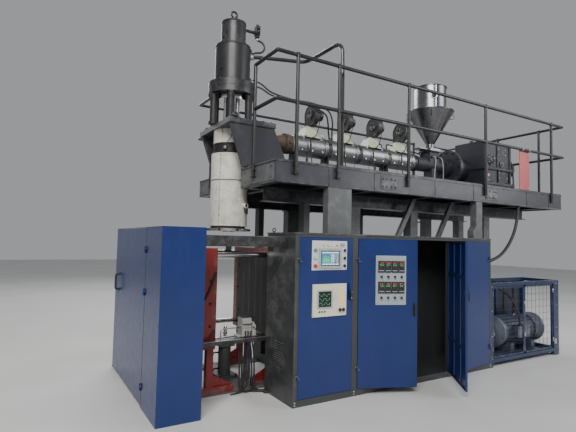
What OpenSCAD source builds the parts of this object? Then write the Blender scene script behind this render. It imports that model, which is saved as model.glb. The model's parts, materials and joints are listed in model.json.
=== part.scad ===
// Accumulator-head blow moulding machine.
// X runs along the machine with the extruder, Y runs away from the operator, Z is up.
// The origin lies on the floor at the centre of the anchor-bolt pattern.

/* [Platform] */
// How far the platform's left end lies from the anchor pattern's centre
platform_left = 2134; // [2100:1:2170]
// Length of the platform
platform_len = 5400; // [5350:1:5450]
// Width of the platform across the machine
platform_w = 2280; // [2240:2:2320]
// Height of the deck above the floor
deck_z = 2515; // [2480:1:2550]
// Thickness of the deck plate
deck_t = 10; // [6:1:14]
// Height of the fascia channels round the platform
fascia_h = 230; // [200:1:250]
// Height of the main beams under the platform
beam_h = 160; // [130:1:180]
// Radius of the guard-rail tubes
rail_r = 21; // [16:1:25]
// Height of the top rail's centre above the deck
rail_top = 1135; // [1000:5:1200]
// Height of the middle rail's centre above the deck
rail_mid = 625; // [500:5:700]

/* [Guard and cabinet] */
// From the head's axis to the guard's end face
guard_reach = 1112; // [1100:1:1130]
// Depth of the guard enclosure along the machine
guard_d = 418; // [400:1:430]
// Height of the guard enclosure
guard_h = 1770; // [1740:1:1800]
// Width of the fixed strip beside the guard door
guard_strip = 567; // [520:1:600]
// Clear way in for the operator between guard and cabinet
operator_gap = 896; // [880:1:910]
// Length of the electric cabinet
cabinet_len = 3168; // [3150:1:3190]
// Depth of the electric cabinet
cabinet_d = 600; // [560:5:605]
// Height of the electric cabinet
cabinet_h = 1750; // [1700:5:1800]
// Sheet thickness of doors and covers
sheet_t = 3; // [2:0.5:4]
// Gap round a door
door_gap = 3; // [2:0.5:4]
// Angle at which the second door stands ajar
door_2_ajar = 22; // [5:1:30]
// Angle at which the third door stands open
door_3_open = 53; // [45:1:60]
// Angle at which the fourth door stands ajar
door_4_ajar = 8; // [4:1:10]

/* [Clamp unit] */
// Distance between the open platens
open_gap = 730; // [700:2:740]
// Thickness of a platen
platen_t = 137; // [110:1:140]
// Width of a platen across the machine
platen_w = 1200; // [1160:10:1220]
// Top of the platens above the floor
platen_top = 1570; // [1540:5:1590]
// Underside of the platens above the floor
platen_low = 500; // [470:5:520]
// Radius of the tie bars
tie_r = 30; // [25:1:35]
// Stroke of each platen
platen_stroke = 200; // [150:5:210]
// Outer radius of the clamp cylinders
clamp_cyl_r = 110; // [100:1:120]

/* [Accumulator head] */
// How far the head's axis stands out from the platform's end
head_reach = 20; // [10:1:30]
// Outer radius of the lower heater cover
cover_r = 230; // [215:1:240]
// Radius of the cylinder flange on the tie posts
head_flange_r = 295; // [285:1:300]
// Radius of the accumulator cylinder
acc_cyl_r = 222; // [212:1:228]
// Radius of the upper cylinder
top_cyl_r = 157; // [148:1:165]
// Radius of a head tie post
post_r = 45; // [38:1:48]
// Stroke of the melt plunger
plunger_stroke = 290; // [270:5:295]
// Stroke of the die pin
pin_stroke = 40; // [30:1:50]

/* [Extruder] */
// Height of the barrel's axis above the deck
axis_h = 455; // [440:1:460]
// Radius of the screw
screw_r = 45; // [40:1:50]
// Outer radius of the barrel
barrel_r = 85; // [75:1:90]
// Outer radius of the barrel's covers
shield_r = 145; // [135:1:150]
// Pitch of the screw's flight
screw_pitch = 100; // [90:1:120]
// Radius of the hopper's cone at its top
hopper_r = 375; // [350:5:390]
// Radius of the hopper's drum
drum_r = 258; // [240:2:280]

/* [Motor cage] */
// Length of the motor cage
cage_len = 1694; // [1660:1:1720]
// Height of the motor cage
cage_h = 1145; // [1100:5:1200]
// Radius of the pump motor's frame
motor_r = 215; // [200:1:225]

/* [Hidden] */
$fn = 48;

// Gap between a curved surface and what it sits in
seat = 0.3;
// Radial clearance of a shaft in its hole
run = 0.05;

platform_x0 = -platform_left;
platform_x1 = platform_x0 + platform_len;
platform_y = platform_w / 2;
fascia_z1 = deck_z - deck_t;
fascia_z0 = fascia_z1 - fascia_h;
fascia_t = 12;
flange_w = 90;
flange_t = 12;
beam_z0 = fascia_z0 - beam_h;
beam_y = 590;
beam_w = 140;
notch_y = 300;
notch_x = platform_x0 + 284;

head_x = platform_x0 - head_reach;
axis_z = deck_z + axis_h;

guard_x0 = head_x - guard_reach;
guard_x1 = guard_x0 + guard_d;
guard_y0 = -1120;
guard_y1 = 1041;
cabinet_x0 = guard_x1 + operator_gap;
cabinet_x1 = cabinet_x0 + cabinet_len;
cabinet_y0 = -1270;
cabinet_y1 = cabinet_y0 + cabinet_d;
plinth_h = 70;
lintel_h = 40;
post_depth = 60;

// Joins points a and b as opposite corners of a block
module block(a, b) {
    translate(a) cube([b[0] - a[0], b[1] - a[1], b[2] - a[2]]);
}
module rod_x(x0, x1, y, z, r) {
    translate([x0, y, z]) rotate([0, 90, 0]) cylinder(h = x1 - x0, r = r);
}
module rod_y(y0, y1, x, z, r) {
    translate([x, y1, z]) rotate([90, 0, 0]) cylinder(h = y1 - y0, r = r);
}
module rod_z(z0, z1, x, y, r) {
    translate([x, y, z0]) cylinder(h = z1 - z0, r = r);
}
module tube_z(z0, z1, x, y, r, r_in) {
    translate([x, y, z0]) difference() {
        cylinder(h = z1 - z0, r = r);
        translate([0, 0, -1]) cylinder(h = z1 - z0 + 2, r = r_in);
    }
}
module tube_x(x0, x1, y, z, r, r_in) {
    translate([x0, y, z]) rotate([0, 90, 0]) difference() {
        cylinder(h = x1 - x0, r = r);
        translate([0, 0, -1]) cylinder(h = x1 - x0 + 2, r = r_in);
    }
}
// A square hollow post standing on the floor side z0
module hollow_post(a, b, wall) {
    difference() {
        block(a, b);
        block([a[0] + wall, a[1] + wall, a[2] - 1], [b[0] - wall, b[1] - wall, b[2] + 1]);
    }
}

// Smooth curve through hand-chosen points, n steps for each stretch
function curve_at(a, b, c, d, t) =
    0.5 * (2 * b + (c - a) * t + (2 * a - 5 * b + 4 * c - d) * t * t
    + (3 * b - a - 3 * c + d) * t * t * t);
function smooth(p, n) = [
    for (i = [0 : len(p) - 2])
        let (a = p[max(i - 1, 0)], d = p[min(i + 2, len(p) - 1)])
        each [for (k = [0 : n - 1]) curve_at(a, p[i], p[i + 1], d, k / n)],
    p[len(p) - 1]];
function unit(v) = v / norm(v);
function tangent(p, i) = unit(p[min(i + 1, len(p) - 1)] - p[max(i - 1, 0)]);
function carried(p, i, u) =
    i >= len(p) ? []
    : let (t = tangent(p, i), n = unit(u - (u * t) * t)) concat([n], carried(p, i + 1, n));
// A hose of radius r along the points p, with side as a direction across its start
module hose(p, r, side, facets = 8) {
    n = carried(p, 0, side);
    last = len(p) - 1;
    points = [for (i = [0 : last], j = [0 : facets - 1])
        let (t = tangent(p, i), a = 360 * j / facets)
        p[i] + r * (cos(a) * n[i] + sin(a) * cross(t, n[i]))];
    skin = [for (i = [0 : last - 1], j = [0 : facets - 1])
        let (k = (j + 1) % facets, a = i * facets, b = a + facets)
        each [[a + j, b + k, a + k], [a + j, b + j, b + k]]];
    start = [[for (j = [0 : facets - 1]) j]];
    end = [[for (j = [0 : facets - 1]) last * facets + facets - 1 - j]];
    polyhedron(points = points, faces = concat(start, skin, end), convexity = 6);
}

// Floor frame with the columns' feet and the anchor pads
anchor_x = 900;
anchor_y = 460;
anchor_hole_r = 14;
pad_len = 200;
pad_w = 120;
pad_t = 20;
floor_beam_h = 100;
base_x1 = platform_x1 - 270;
wide_x0 = platform_x0 + 1154;
wide_x1 = wide_x0 + 380;
column_x = [platform_x0 + 2515, platform_x1 - 1266, platform_x1 - 366];
module base_frame() {
    color([0.36, 0.38, 0.38]) {
        for (s = [-1, 1]) {
            block([clamp_x1, s * beam_y - beam_w / 2, 0], [base_x1, s * beam_y + beam_w / 2, floor_beam_h]);
        }
        for (x = [clamp_x1 + 180, column_x[0], column_x[1]]) {
            block([x - 60, beam_w / 2 - beam_y, 0], [x + 60, beam_y - beam_w / 2, floor_beam_h]);
        }
        for (sx = [-1, 1], sy = [-1, 1]) anchor_pad(sx, sy);
    }
}
module anchor_pad(sx, sy) {
    y_in = sy * (beam_y - beam_w / 2);
    y_out = y_in - sy * pad_w;
    difference() {
        block([sx * anchor_x - pad_len / 2, min(y_in, y_out), 0],
            [sx * anchor_x + pad_len / 2, max(y_in, y_out), pad_t]);
        rod_z(-1, pad_t + 1, sx * anchor_x, sy * anchor_y, anchor_hole_r);
    }
}

// Columns from the floor frame to the platform, and the stools on the cabinet
column_w = 140;
column_wall = 10;
brace_x = [cabinet_x0 + 1872, cabinet_x0 + 2652];
brace_w = 70;
brace_lean = 300;
module column(x0, x1, s) {
    hollow_post([x0, s * beam_y - column_w / 2, floor_beam_h],
        [x1, s * beam_y + column_w / 2, beam_z0], column_wall);
}
module stool(x0, x1, rake) {
    y0 = cabinet_y0 + 130;
    translate([0, y0 + 100, 0]) rotate([90, 0, 0]) linear_extrude(100)
        polygon([[x0, cabinet_h], [x1, cabinet_h], [x1, fascia_z0], [x0 + rake, fascia_z0],
            [x0 + rake, cabinet_h + 180], [x0, cabinet_h + 110]]);
}
module platform_columns() {
    color([0.36, 0.38, 0.38]) {
        for (s = [-1, 1]) {
            column(wide_x0, wide_x1, s);
            for (i = [0, 1]) column(column_x[i] - column_w / 2, column_x[i] + column_w / 2, s);
        }
        column(column_x[2] - column_w / 2, column_x[2] + column_w / 2, 1);
        stool(cabinet_x1 - 190, cabinet_x1, 60);
        stool(post_2b - 326, post_2b, 0);
        // Diagonal braces between the cabinet's top and the beams
        for (x = brace_x) brace(x);
    }
}
module brace(x) {
    rise = fascia_z0 - cabinet_h;
    translate([x, cabinet_y1 - 70, cabinet_h]) rotate([90, 0, 0]) linear_extrude(50)
        polygon([[0, 0], [brace_w, 0], [brace_w + brace_lean, rise], [brace_lean, rise]]);
}

// Outline of the platform with the notch for the head, grown inwards by t
function deck_outline(t) = [
    [platform_x0 + t, -platform_y + t], [platform_x1 - t, -platform_y + t],
    [platform_x1 - t, platform_y - t], [platform_x0 + t, platform_y - t],
    [platform_x0 + t, notch_y + t], [notch_x + t, notch_y + t],
    [notch_x + t, -notch_y - t], [platform_x0 + t, -notch_y - t]];
module band(z0, z1, t) {
    translate([0, 0, z0]) linear_extrude(z1 - z0) difference() {
        polygon(deck_outline(0));
        polygon(deck_outline(t));
    }
}
joist_x = [platform_x0 + 684, platform_x0 + 1344, brace_x[0] + brace_lean + brace_w / 2,
    brace_x[1] + brace_lean + brace_w / 2, platform_x1 - 1706, platform_x1 - 966, platform_x1 - 366];
module platform_frame() {
    color([0.25, 0.26, 0.29]) {
        band(fascia_z0, fascia_z1, fascia_t);
        band(fascia_z0, fascia_z0 + flange_t, flange_w);
        band(fascia_z1 - flange_t, fascia_z1, flange_w);
        // Joists between the front and the rear fascia
        for (x = joist_x) {
            block([x - 6, -platform_y + fascia_t, fascia_z0], [x + 6, platform_y - fascia_t, fascia_z1]);
            block([x - 45, -platform_y + fascia_t, fascia_z0],
                [x + 45, platform_y - fascia_t, fascia_z0 + flange_t]);
        }
        // Main beams over the columns
        for (s = [-1, 1]) main_beam(s * beam_y);
    }
}
module main_beam(y) {
    x0 = platform_x0 + 150;
    x1 = platform_x1 - 200;
    block([x0, y - beam_w / 2, beam_z0], [x1, y + beam_w / 2, beam_z0 + flange_t]);
    block([x0, y - beam_w / 2, fascia_z0 - flange_t], [x1, y + beam_w / 2, fascia_z0]);
    block([x0, y - 6, beam_z0], [x1, y + 6, fascia_z0]);
}
module deck_plate() {
    color([0.42, 0.43, 0.45]) translate([0, 0, fascia_z1]) linear_extrude(deck_t)
        polygon(deck_outline(0));
}

// Guard rails, lapped on the outside of the fascia
rail_y = platform_y + rail_r;
rail_x0 = platform_x0 - rail_r;
rail_x1 = platform_x1 + rail_r;
rail_foot = fascia_z0 + 95;
end_post_y = platform_y - 480;
toe_h = 12;
front_posts = [platform_x0 + 234, platform_x0 + 789, platform_x0 + 1880, platform_x1 - 1996,
    platform_x1 - 310];
ladder_x0 = platform_x1 - 976;
ladder_x1 = ladder_x0 + 600;
rear_posts = [front_posts[0], front_posts[1], front_posts[2], front_posts[3], ladder_x0];
module rail_post(x, y) {
    rod_z(rail_foot, deck_z + rail_top, x, y, rail_r);
}
module rail_run_x(x0, x1, y) {
    for (z = [deck_z + rail_mid, deck_z + rail_top]) rod_x(x0, x1, y, z, rail_r);
}
module rail_run_y(y0, y1, x) {
    for (z = [deck_z + rail_mid, deck_z + rail_top]) rod_y(y0, y1, x, z, rail_r);
}
module rail_corners(x, y) {
    for (z = [deck_z + rail_mid, deck_z + rail_top]) translate([x, y, z]) sphere(r = rail_r, $fn = 32);
}
module guard_rails() {
    color([0.13, 0.11, 0.11]) {
        rail_run_x(rail_x0, rail_x1, -rail_y);
        for (x = front_posts) rail_post(x, -rail_y);
        rail_run_x(rail_x0, ladder_x0, rail_y);
        rail_run_x(ladder_x1, rail_x1, rail_y);
        for (x = rear_posts) rail_post(x, rail_y);
        rail_post(ladder_x1, rail_y);
        rail_run_y(-rail_y, rail_y, rail_x1);
        for (k = [-1, 0, 1]) rail_post(rail_x1, k * (platform_y - 370));
        for (s = [-1, 1]) {
            rail_run_y(min(s * rail_y, s * end_post_y), max(s * rail_y, s * end_post_y), rail_x0);
            rail_post(rail_x0, s * end_post_y);
            rail_corners(rail_x0, s * rail_y);
            rail_corners(rail_x1, s * rail_y);
            rail_corners(rail_x0, s * end_post_y);
        }
        // Toe board along the front edge of the deck
        block([platform_x0 + 560, -platform_y, deck_z], [platform_x1, -platform_y + 5, deck_z + toe_h]);
    }
}
module access_ladder() {
    y0 = platform_y + 2 * rail_r + 8;
    step = 300;
    color([0.13, 0.11, 0.11]) {
        for (x = [ladder_x0 + 50, ladder_x1 - 70]) {
            block([x, y0, 0], [x + 20, y0 + 60, deck_z + 900]);
            for (z = [fascia_z0 + 60, fascia_z0 + 160]) {
                block([x, platform_y, z], [x + 20, y0, z + 40]);
            }
        }
        for (z = [step : step : deck_z]) rod_x(ladder_x0 + 60, ladder_x1 - 60, y0 + 30, z, 14);
    }
}
// Red plate standing on the toe board behind the middle rail
module red_rail_plate() {
    y0 = rail_r - rail_y + seat;
    color([0.72, 0.16, 0.16])
        block([platform_x1 - 1148, y0, deck_z + toe_h],
            [platform_x1 - 897, y0 + 8, deck_z + rail_mid + rail_r]);
}

// Bracket that carries the head over the platform's end
bracket_y = 450;
bracket_t = 40;
bracket_top = axis_z + 40;
top_plate_t = 60;
top_plate_z = bracket_top + top_plate_t;
top_plate_bore = 150;
module head_bracket() {
    side = [[head_x - 216, bracket_top + 1], [head_x - 43, deck_z], [head_x + 554, deck_z],
        [head_x + 508, deck_z + 180], [head_x + 360, bracket_top + 1]];
    color([0.25, 0.26, 0.29]) {
        for (s = [-1, 1]) {
            translate([0, s * bracket_y + bracket_t / 2, 0]) rotate([90, 0, 0])
                linear_extrude(bracket_t) polygon(side);
            block([platform_x0, s * bracket_y - 80, deck_z],
                [head_x + 554, s * bracket_y + 80, deck_z + 20]);
        }
        // Tie plate low between the sides
        block([head_x + 430, bracket_t / 2 - bracket_y - 1, deck_z],
            [head_x + 455, bracket_y - bracket_t / 2 + 1, deck_z + 250]);
        difference() {
            block([head_x - 230, -487, bracket_top], [head_x + 374, 487, top_plate_z]);
            rod_z(bracket_top - 1, top_plate_z + 1, head_x, 0, top_plate_bore);
        }
    }
}

// Accumulator head, hung under the bracket's top plate
head_low = 1830;
head_core_r = 190;
melt_bore_r = 100;
pin_rod_r = 28;
neck_z0 = head_low + 884;
neck_z1 = head_low + 1009;
module head_cylinder() {
    color([0.23, 0.22, 0.23]) difference() {
        union() {
            rod_z(head_low, bracket_top, head_x, 0, head_core_r);
            rod_z(neck_z0, neck_z1, head_x, 0, cover_r - 18);
            rod_x(head_x, head_x + cover_r + 60, 0, axis_z, 38 - seat);
        }
        rod_z(head_low + 120, bracket_top + 1, head_x, 0, melt_bore_r);
        rod_z(head_low - 1, head_low + 121, head_x, 0, 60);
        rod_x(head_x, head_x + cover_r + 61, 0, axis_z, 18);
    }
}
cover_seam = head_low + 554;
module cover(z0, z1, r) {
    difference() {
        rod_z(z0, z1, head_x, 0, r);
        rod_z(z0 + sheet_t, z1 - sheet_t, head_x, 0, r - sheet_t);
        rod_z(z0 - 1, z1 + 1, head_x, 0, head_core_r + seat);
    }
}
module heater_covers() {
    color([0.84, 0.82, 0.76]) difference() {
        union() {
            cover(head_low, cover_seam - 1, cover_r);
            cover(cover_seam + 1, neck_z0 - 1, cover_r);
            cover(neck_z1 + 1, bracket_top - seat, cover_r - 20);
            for (z = [head_low + 250, cover_seam + 130]) terminal(z);
        }
        rod_x(head_x, head_x + cover_r + 60, 0, axis_z, 38);
    }
}
// Round terminal housing on the cover's side
module terminal(z) {
    rotate_about(head_x, 0, -62) translate([cover_r - 8, 0, z]) rotate([0, 90, 0])
        cylinder(h = 45, r = 32);
}
module rotate_about(x, y, a) {
    translate([x, y, 0]) rotate([0, 0, a]) children();
}
die_t = 60;
die_bore = 80;
module die_ring() {
    color([0.72, 0.72, 0.72]) difference() {
        union() {
            rod_z(head_low - die_t, head_low, head_x, 0, 200);
            rod_z(head_low - die_t, head_low - die_t / 2, head_x, 0, 265);
        }
        rod_z(head_low - die_t - 1, head_low + 1, head_x, 0, die_bore);
        for (a = [22.5 : 45 : 359]) rotate_about(head_x, 0, a)
            translate([235, 0, head_low - die_t - 1]) cylinder(h = die_t, r = 9);
    }
}

// Cylinder stack over the bracket
stack_low = top_plate_z + 385;
flange_top = stack_low + 149;
acc_top = flange_top + 489;
top_top = acc_top + 311;
post_ring = head_flange_r - post_r - 5;
post_count = 6;
module head_tie_posts() {
    color([0.24, 0.24, 0.27]) for (i = [0 : post_count - 1])
        rotate_about(head_x, 0, 360 * i / post_count + 4) translate([post_ring, 0, 0]) {
            rod_z(top_plate_z, stack_low, 0, 0, post_r);
            rod_z(top_plate_z, top_plate_z + 30, 0, 0, post_r + 14);
        }
}
cross_z0 = stack_low - 60;
cross_t = 50;
piston_z0 = acc_top - 200;
ram_r = 60;
chamber_r = 150;
module melt_plunger() {
    color([0.55, 0.55, 0.57]) difference() {
        union() {
            rod_z(bracket_top - 310, cross_z0, head_x, 0, melt_bore_r - run);
            rod_z(cross_z0, cross_z0 + cross_t, head_x, 0, post_ring - post_r - 6);
            rod_z(cross_z0, piston_z0 + 80, head_x, 0, ram_r);
            rod_z(piston_z0, piston_z0 + 80, head_x, 0, chamber_r - run);
        }
        rod_z(bracket_top - 311, piston_z0 + 81, head_x, 0, pin_rod_r + run);
    }
}
module accumulator_cylinder() {
    color([0.25, 0.25, 0.28]) difference() {
        union() {
            rod_z(stack_low, flange_top, head_x, 0, head_flange_r);
            rod_z(flange_top, acc_top, head_x, 0, acc_cyl_r);
        }
        rod_z(stack_low - 1, stack_low + 90, head_x, 0, ram_r + run);
        rod_z(stack_low + 88, acc_top - 50, head_x, 0, chamber_r);
        rod_z(acc_top - 51, acc_top + 1, head_x, 0, pin_rod_r + run);
    }
}
pin_piston_z = top_top - 137;
module upper_cylinder() {
    color([0.25, 0.25, 0.28]) {
        difference() {
            rod_z(acc_top, top_top, head_x, 0, top_cyl_r);
            rod_z(acc_top - 1, acc_top + 31, head_x, 0, pin_rod_r + run);
            rod_z(acc_top + 30, top_top - 37, head_x, 0, 90);
        }
        rod_z(top_top, top_top + 70, head_x, 0, 38);
        translate([head_x, 0, top_top + 118]) rotate([90, 0, 0]) rotate_extrude($fn = 40)
            translate([38, 0]) circle(r = 13, $fn = 20);
        for (s = [-1, 1]) rod_z(top_top, top_top + 22, head_x + s * 110, 0, 16);
    }
}
pin_z0 = head_low - die_t - 8;
module die_pin() {
    color([0.7, 0.7, 0.72]) {
        rod_z(pin_z0, pin_piston_z + 40, head_x, 0, pin_rod_r);
        rod_z(pin_piston_z, pin_piston_z + 40, head_x, 0, 90 - run);
        rod_z(pin_z0, pin_z0 + 40, head_x, 0, die_bore - 10);
        translate([head_x, 0, pin_z0 + 40]) cylinder(h = 60, r1 = die_bore - 10, r2 = pin_rod_r);
    }
}

// Valve block at the right of the upper cylinder
valve_x0 = head_x + top_cyl_r + 149;
valve_z0 = acc_top + 242;
valve_w = 50;
module valve_block() {
    color([0.1, 0.1, 0.11]) {
        block([valve_x0, -40, valve_z0], [valve_x0 + valve_w, 40, valve_z0 + 120]);
        rod_x(head_x + top_cyl_r + seat, valve_x0, 0, valve_z0 + 30, 20);
        rod_z(valve_z0 + 120, valve_z0 + 148, valve_x0 + valve_w / 2, 0, 18);
        block([valve_x0 + 5, -32, valve_z0 - 30], [valve_x0 + valve_w - 5, 32, valve_z0]);
    }
}
loop_z = valve_z0 - 30;
loop_points = [[valve_x0 + 25, 0, loop_z - 8], [valve_x0 + 29, -1, loop_z - 28],
    [valve_x0 + 92, -10, loop_z - 50], [valve_x0 + 126, -20, loop_z - 105],
    [valve_x0 + 105, -30, loop_z - 165], [valve_x0 + 55, -42, loop_z - 205],
    [valve_x0 - 15, -52, loop_z - 228], [head_x + acc_cyl_r + 30, -60, loop_z - 250],
    [head_x + acc_cyl_r + 12, -60, loop_z - 250], [head_x + acc_cyl_r - 4.7, -60, loop_z - 250]];
upper_end = head_x + 1544;
lower_end = upper_end - 45;
upper_line = [[head_x + acc_cyl_r - 5, -60, flange_top + 109], [head_x + acc_cyl_r + 8, -60, flange_top + 109],
    [head_x + acc_cyl_r + 24, -60, flange_top + 109], [head_x + 354, -110, flange_top + 61],
    [head_x + 494, -150, flange_top - 36], [head_x + 778, -220, flange_top - 94],
    [head_x + 1054, -242, flange_top - 95], [upper_end - 221, -232, flange_top - 149],
    [upper_end - 120, -198, flange_top - 277], [upper_end - 60, -110, flange_top - 397],
    [upper_end, -30, axis_z + shield_r + 13]];
lower_line = [[head_x + acc_cyl_r - 9, -75, flange_top + 32], [head_x + acc_cyl_r + 6, -75, flange_top + 32],
    [head_x + acc_cyl_r + 24, -75, flange_top + 32], [head_x + 354, -120, flange_top - 1],
    [head_x + 494, -160, flange_top - 76], [head_x + 778, -230, flange_top - 119],
    [head_x + 1054, -254, flange_top - 149], [lower_end - 225, -242, flange_top - 212],
    [lower_end - 160, -212, flange_top - 317], [lower_end - 80, -115, flange_top - 407],
    [lower_end, -30, axis_z + shield_r + 13]];
module head_hoses() {
    color([0.06, 0.06, 0.07]) {
        hose(smooth(loop_points, 5), 13, [0, 1, 0]);
        hose(smooth(upper_line, 4), 11, [0, 1, 0]);
        hose(smooth(lower_line, 4), 11, [0, 1, 0]);
        for (x = [upper_end, lower_end]) rod_z(axis_z + shield_r - seat, axis_z + shield_r + 24, x, -30, 17);
        rod_z(loop_z - 16, loop_z, valve_x0 + 25, 0, 18);
    }
}
pipe_z = flange_top + 399;
down_x = head_x + 928;
down_y = 80 - platform_y;
pipe_points = [[head_x + acc_cyl_r - 2.7, -60, pipe_z], [head_x + acc_cyl_r + 8, -60, pipe_z],
    [head_x + acc_cyl_r + 20, -60, pipe_z], [head_x + 299, -100, pipe_z],
    [head_x + 594, -200, pipe_z + 5], [head_x + 824, -270, pipe_z + 8], [down_x - 36, -330, pipe_z + 8],
    [down_x - 14, -480, pipe_z + 8], [down_x - 6, -760, pipe_z + 8], [down_x - 4, down_y + 160, pipe_z + 8],
    [down_x - 3, down_y + 70, pipe_z - 15], [down_x - 2, down_y + 20, pipe_z - 75],
    [down_x - 1, down_y + 8, pipe_z - 160], [down_x, down_y, pipe_z - 500],
    [down_x, down_y, deck_z + 400], [down_x, down_y, deck_z]];
module main_hydraulic_pipe() {
    color([0.12, 0.12, 0.13]) {
        hose(smooth(pipe_points, 3), 24, [0, 1, 0], 12);
        rod_z(deck_z, deck_z + 25, down_x, down_y, 42);
    }
}

// Extruder
barrel_x0 = head_x + 854;
barrel_x1 = platform_x1 - 2220;
throat_x1 = barrel_x1 + 694;
module extruder_barrel() {
    color([0.5, 0.5, 0.52]) {
        tube_x(barrel_x0, barrel_x1, 0, axis_z, barrel_r, screw_r + run);
        tube_x(barrel_x0, barrel_x0 + 50, 0, axis_z, barrel_r + 45, screw_r + run);
    }
}
adapter_x0 = head_x + cover_r + 60;
module adapter() {
    color([0.35, 0.27, 0.22]) difference() {
        union() {
            rod_x(adapter_x0, barrel_x0 - 340, 0, axis_z, 38);
            rod_x(barrel_x0 - 340, barrel_x0 - 300, 0, axis_z, 120);
            translate([barrel_x0 - 300, 0, axis_z]) rotate([0, 90, 0]) cylinder(h = 190, r1 = 75, r2 = 115);
            rod_x(barrel_x0 - 110, barrel_x0, 0, axis_z, barrel_r + 45);
        }
        rod_x(adapter_x0 - 1, barrel_x0 + 1, 0, axis_z, 18);
    }
}
cover_x0 = barrel_x0 + 60;
cover_len = barrel_x1 - 110 - cover_x0;
band_w = 70;
segment_x = [for (k = [0, 0.2436, 0.4963, 0.756, 1]) cover_x0 + k * cover_len];
segment_a = [for (i = [0 : 3]) segment_x[i] + (i > 0 ? band_w / 2 : 0)];
segment_b = [for (i = [0 : 3]) segment_x[i + 1] - (i < 3 ? band_w / 2 : 0)];
module barrel_covers() {
    color([0.68, 0.68, 0.67]) for (i = [0 : 3]) difference() {
        union() {
            rod_x(segment_a[i], segment_b[i], 0, axis_z, shield_r);
            rod_x(segment_b[i] - 12, segment_b[i], 0, axis_z, shield_r + 4);
        }
        rod_x(segment_a[i] + sheet_t, segment_b[i] - sheet_t, 0, axis_z, shield_r - sheet_t);
        rod_x(segment_a[i] - 1, segment_b[i] + 1, 0, axis_z, barrel_r + seat);
        rod_z(axis_z, axis_z + shield_r + 20, blower_x[i], 0, 45);
    }
}
blower_x = [for (k = [0.108, 0.370, 0.6259, 0.8787]) cover_x0 + k * cover_len];
stand_x = [barrel_x0 + 56, segment_x[1], segment_x[3]];
module barrel_stands() {
    color([0.22, 0.23, 0.26]) for (x = stand_x) {
        block([x - 60, -140, deck_z], [x + 60, 140, deck_z + 16]);
        translate([x - 2.5, 0, deck_z]) rotate([90, 0, 90]) linear_extrude(5) difference() {
            polygon([[-130, 10], [130, 10], [barrel_r, axis_h - 20], [barrel_r, axis_h],
                [-barrel_r, axis_h], [-barrel_r, axis_h - 20]]);
            translate([0, axis_h]) circle(r = barrel_r + seat);
        }
        block([x - 45, -12, deck_z + 10], [x + 45, 12, axis_z - shield_r - 8]);
    }
    // Dark bands between the covers and the bare jacket behind the last one
    color([0.22, 0.23, 0.26]) {
        for (i = [0 : 2]) {
            tube_x(segment_b[i] + seat, segment_a[i + 1] - seat, 0, axis_z, shield_r - 5, barrel_r + seat);
        }
        tube_x(segment_b[3] + seat, barrel_x1 - seat, 0, axis_z, barrel_r + 32, barrel_r + seat);
    }
}
cowl_z0 = axis_z + shield_r - 34;
cowl_z1 = axis_z + 275;
module cooling_cowls() {
    color([0.80, 0.82, 0.70]) for (x = blower_x) difference() {
        cowl(x, 0);
        cowl(x, sheet_t);
        rod_x(x - 200, x + 200, 0, axis_z, shield_r + seat);
        rod_z(cowl_z1 - 20, cowl_z1 + 1, x + 20, 14, 30);
    }
}
// Tapered cowl over the barrel, moved in by t for its hollow
module cowl(x, t) {
    h = cowl_z1 - cowl_z0;
    translate([x, 0, cowl_z0]) intersection() {
        translate([0, 200, 0]) rotate([90, 0, 0]) linear_extrude(400)
            polygon([[-134 + t, -t], [134 - t, -t], [62 - t, h - t], [-62 + t, h - t]]);
        translate([-200, 0, 0]) rotate([90, 0, 90]) linear_extrude(400)
            polygon([[-120 + t, -t], [120 - t, -t], [63 - t, h - t], [-63 + t, h - t]]);
    }
}
fan_y = -80;
fan_z = cowl_z1 + 155;
fan_r = 142;
fan_w = 70;
module blowers() {
    color([0.12, 0.12, 0.13]) for (x = blower_x) fan(x - 15, x + 20);
}
// Scroll fan on the cowl with its inlet to the left and its motor to the right
module fan(x, mouth_x) {
    difference() {
        union() {
            rod_x(x, x + fan_w, fan_y, fan_z, fan_r);
            block([x, fan_y + 45, cowl_z1], [x + fan_w, fan_y + fan_r, fan_z]);
        }
        rod_x(x + 3, x + fan_w - 3, fan_y, fan_z, fan_r - 4);
        rod_x(x - 1, x + 4, fan_y, fan_z, 55);
        block([x + 4, fan_y + 49, cowl_z1 + 5], [x + fan_w - 4, fan_y + fan_r - 4, fan_z]);
        rod_z(cowl_z1 - 1, cowl_z1 + 10, mouth_x, 14, 30);
    }
    rod_x(x + 12, x + fan_w, fan_y, fan_z, 16);
    rod_x(x + fan_w, x + fan_w + 95, fan_y, fan_z, 58);
    rod_x(x + fan_w + 95, x + fan_w + 110, fan_y, fan_z, 64);
}
hopper_x = throat_x1 - 300;
throat_z = axis_z + 230;
throat_bore = 60;
module feed_throat() {
    color([0.30, 0.32, 0.35]) difference() {
        union() {
            rod_x(barrel_x1, hopper_x - 150, 0, axis_z, barrel_r + 32);
            rod_x(hopper_x - 150, throat_x1, 0, axis_z, 100);
            rod_x(barrel_x1, barrel_x1 + 30, 0, axis_z, 130);
            rod_x(throat_x1 - 30, throat_x1, 0, axis_z, 140);
            block([hopper_x - 110, -100, axis_z], [hopper_x + 110, 100, throat_z - 18]);
            block([hopper_x - 130, -130, throat_z - 18], [hopper_x + 130, 130, throat_z]);
            block([hopper_x - 50, -90, deck_z], [hopper_x + 50, 90, axis_z - 60]);
        }
        rod_x(barrel_x1 - 1, throat_x1 + 1, 0, axis_z, screw_r + run);
        rod_z(axis_z, throat_z + 1, hopper_x, 0, throat_bore);
    }
}
gate_t = 12;
gate_slot = gate_t + 2 * seat;
hopper_z = throat_z;
cone_z0 = hopper_z + 120;
cone_z1 = cone_z0 + 530;
drum_z1 = cone_z1 + 420;
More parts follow.
